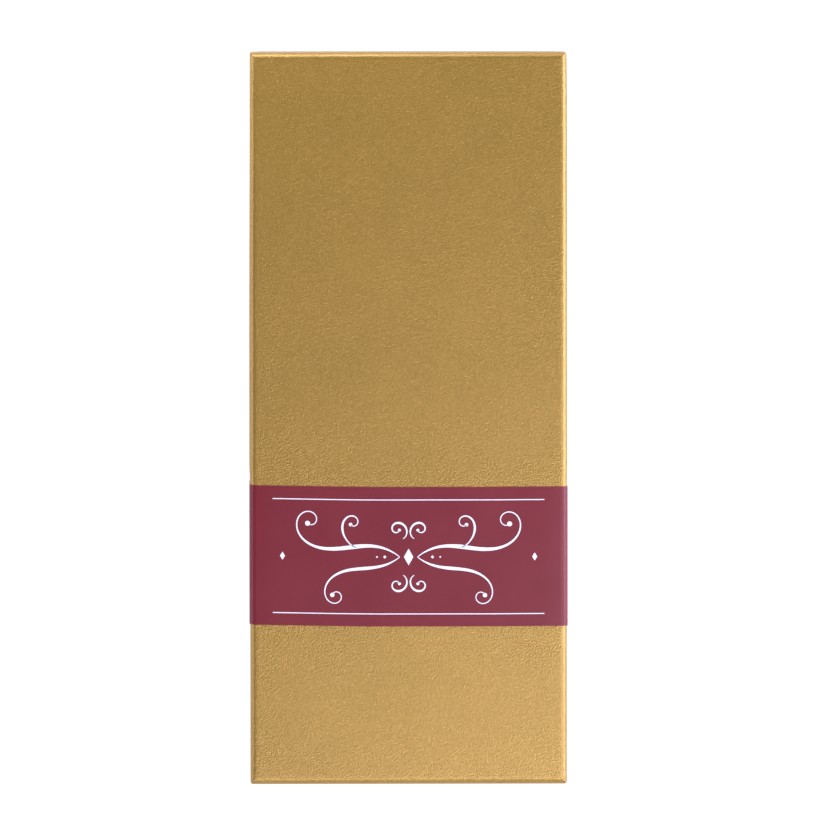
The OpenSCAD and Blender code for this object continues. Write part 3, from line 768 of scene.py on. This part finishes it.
softInsert = softenedCopy("insert_cover", edgeAbove=24.9, width=0.45)
insertCover = finishPiece("flockedInsertFace", softInsert, [flockPile], "base",
                          ["insert_cover"])
insertFoam = finishPiece("foamInsert", mergedCopy("insert_foam"), [foam], "base",
                         ["insert_foam"])

# quill pen: it lies along Y and the feather bends to the right, by the same rule as its recess
quill = {"x": -28.2, "z": 21.8, "mouth": -93.3, "holderEnd": -33.3, "vaneFrom": -13.3,
         "end": 122.5, "bend": 8.0, "footR": 2.2, "tipR": 0.4, "left": 13.0, "right": 21.0,
         "seat": 12.0, "flattened": 0.18, "flattens": 12.0, "steps": 90, "sides": 20}
vaneOutline = {"foot": 0.45, "tipTurn": 5, "tip": 0.6}


def quillU(y):
    return max(0.0, (y - quill["holderEnd"]) / (quill["end"] - quill["holderEnd"]))


def quillX(y):
    return quill["x"] + quill["bend"] * quillU(y) ** 2


def quillR(y):
    return quill["footR"] + (quill["tipR"] - quill["footR"]) * quillU(y)


def vaneShape(u):
    u = max(0.0, min(1.0, u))
    return u ** vaneOutline["foot"] * (1 - u ** vaneOutline["tipTurn"]) ** vaneOutline["tip"]


def tube(rings, sides):
    # rings of (centre, radius across, radius up) with Y as the run
    points, faces, last = [], [], len(rings) - 1
    angles = [2 * math.pi * k / sides for k in range(sides)]
    for (x, y, z), across, up in rings:
        points += [(x + across * math.cos(a), y, z + up * math.sin(a)) for a in angles]
    for i in range(last):
        low, high = i * sides, (i + 1) * sides
        faces += [(low + k, high + k, high + (k + 1) % sides, low + (k + 1) % sides)
                  for k in range(sides)]
    faces += [tuple(range(sides)), tuple(last * sides + k for k in range(sides - 1, -1, -1))]
    return points, faces


def makeShaft():
    start, rings = quill["holderEnd"] - quill["seat"], []
    for i in range(quill["steps"] + 1):
        y = start + (quill["end"] - start) * i / quill["steps"]
        # round at its foot, a little narrower where the vanes grow from it
        flatter = smoothStep((y - quill["vaneFrom"] + quill["flattens"]) / quill["flattens"])
        narrow = quillR(y) * (1.0 - quill["flattened"] * flatter)
        rings.append(((quillX(y), y, quill["z"]), narrow, quillR(y)))
    points, faces = tube(rings, quill["sides"])
    meshPiece("quillShaft", points, faces, [horn], "base", ["quill_shaft"])


makeShaft()

# in degrees: sweep is a barb's angle to the shaft at the foot, and lean what it loses by the tip;
# a split is (where along the vane, how far it opens), and closes again by splitBack of that
feather = {"barbs": 240, "thick": 0.12, "wide": 0.52, "hook": 1.1, "bend": 0.55, "bendSteps": 9,
           "taperFrom": 0.55, "tipWidth": 0.25, "lift": 0.06, "raised": 0.02, "root": 0.6,
           "footOver": 0.5, "tipShort": 2.0, "sweep": 58, "lean": 34, "leanPace": 1.05,
           "unruly": 1.2, "downUnruly": 10, "downFrom": 0.01, "down": 0.09, "downShort": 0.12,
           "shortest": 0.95, "narrowest": 0.9, "shingle": 9.0, "shingleVary": 3, "droop": 1.0,
           "splitWidth": 0.016, "splitBack": 0.5,
           "splits": {1: ((0.30, 2.5), (0.55, 4.0), (0.78, 2.0)),
                      -1: ((0.22, 2.5), (0.47, 3.0), (0.69, 3.5))},
           "web": 0.8, "webFrom": 1, "webShort": 3, "webSteps": 60, "webRoot": 0.5,
           "webLow": 0.16, "webHigh": 0.08, "seed": 11}


def barbTree():
    # one barb, curved towards the feather's tip, is placed on every point, and turned and
    # drawn out by its numbers
    tree, given = startTree("featherBarbs", {
        "side": ("Float", 1.0), "wide": ("Float", 0.0), "thick": ("Float", 0.0),
        "hook": ("Float", 0.0), "lift": ("Float", 0.0), "seed": ("Int", 1),
        "finish": ("Material", None)})
    hook = addNode(tree, "ShaderNodeMath", {0: given["hook"], 1: given["side"]},
                   operation="MULTIPLY").outputs[0]
    middle = addNode(tree, "ShaderNodeCombineXYZ", {"X": feather["bend"], "Y": 0.0}).outputs[0]
    tip = addNode(tree, "ShaderNodeCombineXYZ", {"X": 1.0, "Y": hook}).outputs[0]
    line = addNode(tree, "GeometryNodeCurveQuadraticBezier", {
        "Resolution": feather["bendSteps"], "Start": (0, 0, 0), "Middle": middle,
        "End": tip}).outputs[0]
    along = addNode(tree, "GeometryNodeSplineParameter").outputs["Factor"]
    taper = addNode(tree, "ShaderNodeMapRange", {
        "Value": along, "From Min": feather["taperFrom"], "From Max": 1.0, "To Min": 1.0,
        "To Max": feather["tipWidth"]}).outputs[0]
    line = addNode(tree, "GeometryNodeSetCurveRadius", {"Curve": line, "Radius": taper}).outputs[0]
    profile = addNode(tree, "GeometryNodeCurvePrimitiveQuadrilateral", {
        "Width": given["wide"], "Height": given["thick"]}).outputs[0]
    barb = addNode(tree, "GeometryNodeCurveToMesh", {
        "Curve": line, "Profile Curve": profile, "Fill Caps": True}).outputs[0]
    turn, size = (addNode(tree, "GeometryNodeInputNamedAttribute", {"Name": name},
                          data_type="FLOAT_VECTOR").outputs[0] for name in ("turn", "size"))
    low = addNode(tree, "ShaderNodeMath", {0: given["lift"], 1: -1.0},
                  operation="MULTIPLY").outputs[0]
    lift = addNode(tree, "FunctionNodeRandomValue", {
        "Min": low, "Max": given["lift"], "Seed": given["seed"]}, data_type="FLOAT").outputs[1]
    offset = addNode(tree, "ShaderNodeCombineXYZ", {"Z": lift}).outputs[0]
    shifted = addNode(tree, "GeometryNodeSetPosition", {
        "Geometry": given["Geometry"], "Offset": offset}).outputs[0]
    placed = addNode(tree, "GeometryNodeInstanceOnPoints", {
        "Points": shifted, "Instance": barb, "Rotation": turn, "Scale": size}).outputs[0]
    endTree(tree, placed, given["finish"])
    return tree


barbsTree = barbTree()
vaneLength = quill["end"] - quill["vaneFrom"]


def barbReach(y, a, width, tries=30, least=0.3):
    # how long a barb from y at an angle is, drawn out until its tip meets the vane's outline
    reach = 1.0
    for _ in range(tries):
        there = y + reach * math.cos(a)
        wanted = 0.0
        if there < quill["end"]:
            wanted = width * vaneShape((there - quill["vaneFrom"]) / vaneLength)
        sideways = (quillX(there) - quillX(y)) + wanted + quillR(y)
        reach += 0.5 * (max(sideways, least) / math.sin(a) - reach)
    return reach


def barbPoints(name, side, width):
    # a point for each barb, with its turn and its size
    chance = random.Random(feather["seed"] + side)
    starts, turns, sizes = [], [], []
    for i in range(feather["barbs"]):
        y = quill["vaneFrom"] - feather["footOver"] \
            + (vaneLength - feather["tipShort"]) * i / (feather["barbs"] - 1)
        u = (y - quill["vaneFrom"]) / vaneLength
        # barbs stand out near the foot and lean along the shaft towards the tip
        sweep = feather["sweep"] - feather["lean"] * smoothStep(u * feather["leanPace"])
        downy = 1 - smoothStep((u - feather["downFrom"]) / feather["down"])
        sweep += chance.uniform(-1, 1) * (feather["unruly"] + feather["downUnruly"] * downy)
        for split, opening in feather["splits"][side]:
            # a few places where the vane has parted
            near = (u - split) / feather["splitWidth"]
            sweep -= opening * math.exp(-abs(near)) * (1 if near > 0 else -feather["splitBack"])
        a = math.radians(sweep)
        reach = barbReach(y, a, width)
        reach *= chance.uniform(feather["shortest"], 1.0) \
            * (1 - feather["downShort"] * downy * chance.random())
        x = quillX(y) + side * quillR(y) * feather["root"]
        starts.append((x * mm, y * mm, (quill["z"] + feather["raised"]) * mm))
        # each barb lies on the next like a shingle
        tilt = feather["shingle"] + chance.uniform(-feather["shingleVary"], feather["shingleVary"])
        turns.append((side * math.radians(tilt), math.radians(feather["droop"]),
                      math.radians(90) - side * a))
        wide = feather["narrowest"] + (1 - feather["narrowest"]) * chance.random()
        sizes.append((reach * mm, wide, 1.0))
    cloud = bpy.data.meshes.new(name + "Points")
    cloud.from_pydata(starts, [], [])
    for label, values in (("turn", turns), ("size", sizes)):
        attribute = cloud.attributes.new(label, "FLOAT_VECTOR", "POINT")
        attribute.data.foreach_set("vector", [c for v in values for c in v])
    return cloud


def addWeb(mesh, side, width):
    # a thin web under the barbs keeps the vane closed, as their hooks do
    web, count = bmesh.new(), feather["webSteps"]
    web.from_mesh(mesh)
    low, high = [], []
    for i in range(count + 1):
        y = quill["vaneFrom"] + feather["webFrom"] + (vaneLength - feather["webShort"]) * i / count
        reach = width * vaneShape((y - quill["vaneFrom"]) / vaneLength) * feather["web"]
        inner = quillX(y) + side * quillR(y) * feather["webRoot"]
        outer = quillX(y) + side * (quillR(y) + reach)
        for drop, row in ((feather["webLow"], low), (feather["webHigh"], high)):
            z = quill["z"] - drop
            row.append([web.verts.new((x * mm, y * mm, z * mm)) for x in (inner, outer)])
    for i in range(count):
        for row in (low, high):
            web.faces.new((row[i][0], row[i][1], row[i + 1][1], row[i + 1][0]))
        for k in (0, 1):
            web.faces.new((low[i][k], high[i][k], high[i + 1][k], low[i + 1][k]))
    for i in (0, count):
        web.faces.new((low[i][0], low[i][1], high[i][1], high[i][0]))
    bmesh.ops.recalc_face_normals(web, faces=web.faces)
    web.to_mesh(mesh)
    web.free()


def makeVane(name, node, side, width):
    mesh = treeResult(name, barbPoints(name, side, width), barbsTree, {
        "side": float(side), "wide": feather["wide"] * mm, "thick": feather["thick"] * mm,
        "hook": feather["hook"] * mm, "lift": feather["lift"] * mm, "seed": feather["seed"] + side,
        "finish": barbs})
    addWeb(mesh, side, width)
    mesh.materials.clear()
    finishPiece(name, mesh, [barbs], "base", [node], sharp=60,
                faceSlots=[0] * len(mesh.polygons))


makeVane("featherVaneLeft", "quill_vane_left", -1, quill["left"])
makeVane("featherVaneRight", "quill_vane_right", 1, quill["right"])
print("feather made")


def turnedPiece(name, profile, origin, material, body, node, sides=64, sharp=35):
    # a closed profile of (radius, distance) turned about a line along Y
    shape, rings = bmesh.new(), []
    for r, s in profile:
        onAxis = r < 1e-6
        angles = [2 * math.pi * k / sides for k in range(1 if onAxis else sides)]
        rings.append([shape.verts.new(((origin[0] + r * math.cos(a)) * mm, (origin[1] + s) * mm,
                                       (origin[2] + r * math.sin(a)) * mm)) for a in angles])
    if len(rings[0]) > 1 or len(rings[-1]) > 1:
        rings.append(rings[0])
    for first, second in zip(rings, rings[1:]):
        for k in range(sides):
            around = (k + 1) % sides
            corners = [first[k % len(first)], first[around % len(first)],
                       second[around % len(second)], second[k % len(second)]]
            corners = [v for i, v in enumerate(corners) if v not in corners[:i]]
            if len(corners) > 2:
                shape.faces.new(corners)
    bmesh.ops.recalc_face_normals(shape, faces=shape.faces)
    mesh = bpy.data.meshes.new(name)
    shape.to_mesh(mesh)
    shape.free()
    return finishPiece(name, mesh, [material], body, [node], sharp)


def arcOf(centreR, centreS, radius, start, end, steps):
    angles = [math.radians(start + (end - start) * i / steps) for i in range(steps + 1)]
    return [(centreR + radius * math.cos(a), centreS + radius * math.sin(a)) for a in angles]


# the holder's tenons sit inside the ferrules; a ring is (half width, height) on a ferrule
penHolder = {"ferruleR": 4.5, "holderR": 5.5, "length": 60.0, "ferrule": 10.0, "bore": 3.2,
             "quillBore": 2.3, "wall": 0.35, "clear": 0.02, "steps": 60, "grooves": (1.6, 2.6),
             "grooveDepth": 0.16, "grooveHalf": 0.22, "beadHeight": 0.6, "beadHalf": 1.1,
             "boreEdge": 0.2, "outerEdge": 0.25, "bigRing": (0.6, 0.55), "fineRing": (0.28, 0.12)}
penAt = (quill["x"], quill["mouth"], quill["z"])


def makeHolder():
    look = penHolder
    fR, fL, hL, clear = look["ferruleR"], look["ferrule"], look["length"], look["clear"]
    tenonR, inner, wooden = fR - look["wall"], look["quillBore"], hL - 2 * fL
    profile = [(0, fL + clear), (tenonR, fL + clear)]
    for i in range(1, look["steps"]):
        s = fL + wooden * i / look["steps"]
        r = fR + (look["holderR"] - fR) * math.sin(2 * math.pi * (s - fL) / wooden) ** 2
        # fine turned grooves beside the ferrules, and a bead at the waist
        for fromFerrule in look["grooves"]:
            for groove in (fL + fromFerrule, hL - fL - fromFerrule):
                r -= look["grooveDepth"] * math.exp(-((s - groove) / look["grooveHalf"]) ** 2)
        bead = math.sqrt(max(0.0, 1 - ((s - hL / 2) / look["beadHalf"]) ** 2))
        profile.append((r + look["beadHeight"] * bead - clear, s))
    seat = hL - quill["seat"] - clear
    profile += [(tenonR, hL - fL - clear), (inner, hL - fL - clear), (inner, seat), (0, seat)]
    turnedPiece("penHolder", profile, penAt, wood, "base", "pen_holder",
                sides=72, sharp=50)


def makeFerrule(name, node, bore, s0, ringsAt):
    look = penHolder
    fR, s1 = look["ferruleR"], s0 + look["ferrule"]
    face, inEdge, outEdge = fR - look["clear"], look["boreEdge"], look["outerEdge"]
    line = [(bore, s0 + inEdge), (bore + inEdge, s0), (fR - outEdge, s0), (face, s0 + outEdge)]
    for at, ring in ringsAt:
        half, height = look[ring]
        angles = [math.radians(a) for a in range(0, 181, 20)]
        line += [(face + height * math.sin(a), s0 + at - half * math.cos(a)) for a in angles]
    line += [(face, s1 - outEdge), (fR - outEdge, s1), (bore + inEdge, s1), (bore, s1 - inEdge)]
    turnedPiece(name, line, penAt, brass, "base", node, sides=64, sharp=40)


makeHolder()
makeFerrule("nibFerrule", "nib_ferrule", penHolder["bore"], 0.0,
            ((2.6, "fineRing"), (3.6, "fineRing"), (9.0, "bigRing")))
makeFerrule("quillFerrule", "quill_ferrule", penHolder["quillBore"],
            penHolder["length"] - penHolder["ferrule"],
            ((1.0, "bigRing"), (6.4, "fineRing"), (7.4, "fineRing")))
steelPieces = [("nib_clip", "nibClip", "base"), ("writing_nib", "penNib", "nib")]
steelPieces += [(f"spare_nib_{i}", f"spareNib{i}", "base") for i in range(1, 6)]
for node, name, body in steelPieces:
    finishPiece(name, mergedCopy(node), [steel], body, [node], sharp=30)
print("pen and nibs made")

# ink bottle, lying with its cap towards the box's middle; the thread's ridges are counted from
# the mouth, and the cap hides them until it is off
bottle = {"x": 24.2, "base": -119.9, "z": 15.25, "r": 13.0, "body": 25.0, "neckR": 7.6,
          "neckEnd": 38.9, "glass": 1.6, "heelR": 2, "heelSteps": 8, "bodyMargin": 1,
          "shoulderSteps": 14, "neckMargin": 0.4,
          "pushUp": 0.35, "ringIn": 4.2, "ringUp": 0.25, "lip": 0.3, "ridges": (6.6, 4.4, 2.4),
          "ridgeOut": 0.2, "ridgeRoot": 0.02, "ridgeHalf": 0.5, "ridgeTop": 0.12}
bottleAt = (bottle["x"], bottle["base"], bottle["z"])


def makeBottle():
    look = bottle
    r, body, wall, heel, lip = look["r"], look["body"], look["glass"], look["heelR"], look["lip"]
    neckR, neckEnd = look["neckR"], look["neckEnd"]
    inR, shoulder = neckR - wall, r - neckR
    heelArc, shoulderArc = (-90, 0, look["heelSteps"]), (0, 90, look["shoulderSteps"])
    outside = [(0, look["pushUp"]), (r - look["ringIn"], look["ringUp"])]
    outside += arcOf(r - heel, heel, heel, *heelArc) + [(r, body - look["bodyMargin"])]
    outside += arcOf(neckR, body, shoulder, *shoulderArc)
    neck = [(neckR, body + shoulder + look["neckMargin"])]
    for fromEnd in look["ridges"]:
        at, root, crest = neckEnd - fromEnd, neckR - look["ridgeRoot"], neckR + look["ridgeOut"]
        neck += [(root, at - look["ridgeHalf"]), (crest, at - look["ridgeTop"]),
                 (crest, at + look["ridgeTop"]), (root, at + look["ridgeHalf"])]
    neck += [(neckR, neckEnd - lip), (neckR - lip, neckEnd), (inR + lip, neckEnd),
             (inR, neckEnd - lip)]
    inside = list(reversed(arcOf(inR, body, shoulder, *shoulderArc)))
    inside += list(reversed(arcOf(r - wall - heel, wall + heel, heel, *heelArc))) + [(0, wall)]
    turnedPiece("inkBottle", outside + neck + inside, bottleAt, glass, "base",
                "ink_bottle", sides=96, sharp=50)


makeBottle()
finishPiece("inkInBottle", mergedCopy("ink"), [inkBlack], "base", ["ink"], sharp=25)
finishPiece("capLiner", mergedCopy("cap_liner"), [linerFoam], "cap_liner",
            ["cap_liner"])

# the cap's top is dished by a little, inside a rounded rim
bottleCap = {"r": 9.3, "from": 31.6, "to": 41.4, "clear": 0.3, "top": 1.4, "mouthEdge": 0.2,
             "footEdge": 0.25, "dish": 0.25, "dishIn": 2.6, "rimIn": 2.2, "rimOut": 0.9,
             "rimR": 0.8, "rimSteps": 6, "wallFrom": 1.3, "ribs": 60, "ribOut": 0.2, "ribR": 0.21,
             "ribSunk": 0.02, "ribShort": 2.2, "ribDown": 0.5}


def ribTree():
    # grip ribs: one small half-round bar, set all round the cap
    tree, given = startTree("capRibs", {
        "count": ("Int", 60), "radius": ("Float", 0.0), "ribR": ("Float", 0.0),
        "length": ("Float", 0.0), "finish": ("Material", None)})
    ring = addNode(tree, "GeometryNodeMeshCircle", {
        "Vertices": given["count"], "Radius": given["radius"]}).outputs[0]
    bar = addNode(tree, "GeometryNodeMeshCylinder", {
        "Vertices": 8, "Side Segments": 1, "Radius": given["ribR"], "Depth": given["length"]},
        fill_type="NGON").outputs[0]
    placed = addNode(tree, "GeometryNodeInstanceOnPoints", {
        "Points": ring, "Instance": bar}).outputs[0]
    endTree(tree, placed, given["finish"])
    return tree


def makeCap():
    look = bottleCap
    r, c0, c1 = look["r"] - look["ribOut"], look["from"], look["to"]
    inner, under, dish = bottle["neckR"] + look["clear"], c1 - look["top"], c1 - look["dish"]
    mouth, foot, rim = look["mouthEdge"], look["footEdge"], look["rimR"]
    line = [(0, dish), (r - look["dishIn"], dish), (r - look["rimIn"], c1),
            (r - look["rimOut"], c1)]
    line += arcOf(r - rim, c1 - rim, rim, 90, 0, look["rimSteps"])
    line += [(r, c1 - look["wallFrom"]), (r, c0 + foot), (r - foot, c0), (inner + mouth, c0),
             (inner, c0 + mouth), (inner, under), (0, under)]
    ribs = treeResult("capRibs", bpy.data.meshes.new("empty"), ribTree(), {
        "count": look["ribs"], "radius": (r - look["ribSunk"]) * mm, "ribR": look["ribR"] * mm,
        "length": (c1 - c0 - look["ribShort"]) * mm, "finish": capBlack})
    middle = bottleAt[1] + (c0 + c1) / 2 - look["ribDown"]
    ribs.transform(Matrix.Translation(Vector((bottleAt[0], middle, bottleAt[2])) * mm)
                   @ Matrix.Rotation(math.radians(90), 4, "X"))
    cap = turnedPiece("bottleCap", line, bottleAt, capBlack, "cap", "bottle_cap",
                      sides=96)
    shape = bmesh.new()
    shape.from_mesh(cap.data)
    shape.from_mesh(ribs)
    shape.to_mesh(cap.data)
    shape.free()
    cap.data.polygons.foreach_set("use_smooth", [True] * len(cap.data.polygons))
    cap.data.set_sharp_from_angle(angle=math.radians(50))


makeCap()
print("bottle made")

# leaflet: practice lines and a small flourish on its uncoated paper
page = {"lines": 26, "pitch": 4.0, "length": 31.0, "from": 2.0, "weight": 0.22, "film": 0.02,
        "lift": 0.001, "flourishAt": 112.0, "flourishSize": 0.36, "rule": (-44, -19.5, 44, -18.9)}
finishPiece("foldedLeaflet", mergedCopy("leaflet"), [leafletPaper], "base",
            ["leaflet"], sharp=30)
low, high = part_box("leaflet")
leafletTop, leafletX = high.z / mm, (low.x + high.x) / 2 / mm


def rulingTree():
    # practice lines: one thin bar of ink, repeated down the page
    tree, given = startTree("practiceLines", {
        "count": ("Int", 10), "pitch": ("Float", 0.0), "length": ("Float", 0.0),
        "weight": ("Float", 0.0), "film": ("Float", 0.0), "finish": ("Material", None)})
    step = addNode(tree, "ShaderNodeCombineXYZ", {"Y": given["pitch"]}).outputs[0]
    lines = addNode(tree, "GeometryNodeMeshLine", {"Count": given["count"], "Offset": step},
                    mode="OFFSET").outputs[0]
    size = addNode(tree, "ShaderNodeCombineXYZ", {
        "X": given["length"], "Y": given["weight"], "Z": given["film"]}).outputs[0]
    bar = addNode(tree, "GeometryNodeMeshCube", {"Size": size}).outputs[0]
    placed = addNode(tree, "GeometryNodeInstanceOnPoints", {
        "Points": lines, "Instance": bar}).outputs[0]
    endTree(tree, placed, given["finish"])
    return tree


lines = treeResult("practiceLines", bpy.data.meshes.new("emptyPage"), rulingTree(), {
    "count": page["lines"], "finish": sepiaInk,
    **{name: page[name] * mm for name in ("pitch", "length", "weight", "film")}})
linesAt = (leafletX, page["from"], leafletTop + page["film"] / 2 + page["lift"])
lines.transform(Matrix.Translation(Vector(linesAt) * mm))
lines.materials.clear()
finishPiece("leafletLines", lines, [sepiaInk], "base")
small = printedFigures(flourish[:3], bandPrinting["lozenges"][:1], [page["rule"]])
printPiece("leafletPrint", small, (leafletX, page["flourishAt"]), page["flourishSize"],
           leafletTop + page["lift"], page["film"], sepiaInk, "base")
print("leaflet made")

# a pale floor that the camera sees nearly white, while the box sees less of its glow
studio = {"halfFloor": 3000.0, "floorDown": 0.2, "floorColour": "#f2f2f2", "floorGlow": 1.17,
          "floorWhite": 0.8, "floorMirrored": 0.3, "world": 0.08}


def seenDirectly(tree):
    # 1 for what the camera sees, straight or through glass
    rays = addNode(tree, "ShaderNodeLightPath").outputs
    seen = addNode(tree, "ShaderNodeMath", {0: rays["Is Camera Ray"],
                                            1: rays["Is Transmission Ray"]}, operation="MAXIMUM")
    return rays, seen.outputs[0]


def makeFloor():
    material, tree, shader, _ = startMaterial("paleStudioFloor")
    giveInputs(tree, shader, {"Base Color": linearColour(studio["floorColour"]), "Roughness": 0.9})
    glow = addNode(tree, "ShaderNodeEmission", {"Color": (1, 1, 1, 1),
                                                "Strength": studio["floorGlow"]})
    rays, seen = seenDirectly(tree)
    mirrored = addNode(tree, "ShaderNodeMath", {
        0: rays["Is Glossy Ray"], 1: studio["floorMirrored"]}, operation="MULTIPLY")
    share = addNode(tree, "ShaderNodeMath", {
        0: seen, 1: studio["floorWhite"], 2: mirrored.outputs[0]}, operation="MULTIPLY_ADD")
    mixed = addNode(tree, "ShaderNodeMixShader", {0: share.outputs[0], 1: shader.outputs[0],
                                                  2: glow.outputs[0]})
    output = next(n for n in tree.nodes if n.bl_idname == "ShaderNodeOutputMaterial")
    tree.links.new(mixed.outputs[0], output.inputs[0])
    half, down = studio["halfFloor"] * mm, -studio["floorDown"] * mm
    mesh = bpy.data.meshes.new("floor")
    mesh.from_pydata([(-half, -half, down), (half, -half, down), (half, half, down),
                      (-half, half, down)], [], [(0, 1, 2, 3)])
    mesh.materials.append(material)
    floor = bpy.data.objects.new("floor", mesh)
    bpy.context.scene.collection.objects.link(floor)


def makeWorld():
    world = bpy.data.worlds.new("studio")
    bpy.context.scene.world = world
    world.use_nodes = True
    tree = world.node_tree
    tree.nodes.clear()
    strength = addNode(tree, "ShaderNodeMapRange", {
        "Value": seenDirectly(tree)[1], "To Min": studio["world"], "To Max": 1.0}).outputs[0]
    sky = addNode(tree, "ShaderNodeBackground", {"Color": (1, 1, 1, 1), "Strength": strength})
    addNode(tree, "ShaderNodeOutputWorld", {"Surface": sky.outputs[0]})


makeFloor()
makeWorld()

# name: place in mm, size in mm, watts, colour; all aimed at the middle of the box's face
white, cool = (1, 1, 1), (0.95, 0.98, 1.27)
lamps = {
    "ceiling": ((150, -350, 900), (700, 700), 0.95, white),
    "keyBox": ((230, -275, 620), (320, 320), 1.25, cool),
    "keySide": ((320, -120, 560), (200, 300), 0.36, cool),
    "lowerLeft": ((-200, -385, 450), (320, 300), 0.86, cool),
    "rightStrip": ((500, 100, 160), (700, 200), 2.5, cool),
    "rightPanel": ((480, 60, 330), (700, 80), 1.0, cool),
    "topStrip": ((0, 550, 180), (600, 200), 0.5, white),
    "topClose": ((-110, 250, 150), (300, 80), 0.38, cool),
    "leftStrip": ((-520, 60, 170), (700, 200), 0.95, cool),
    "bottomStrip": ((60, -560, 190), (500, 200), 0.35, white),
}
faceMiddle = Vector((0, 0, lidTray["face"] * mm))
for name, (spot, size, watts, colour) in lamps.items():
    lamp = bpy.data.lights.new(name, "AREA")
    lamp.shape, lamp.size, lamp.size_y = "RECTANGLE", size[0] * mm, size[1] * mm
    lamp.energy, lamp.color = watts, colour
    holder = bpy.data.objects.new(name, lamp)
    holder.location = Vector(spot) * mm
    holder.rotation_euler = (Vector(spot) * mm - faceMiddle).to_track_quat("Z", "Y").to_euler()
    bpy.context.scene.collection.objects.link(holder)
print("studio set")
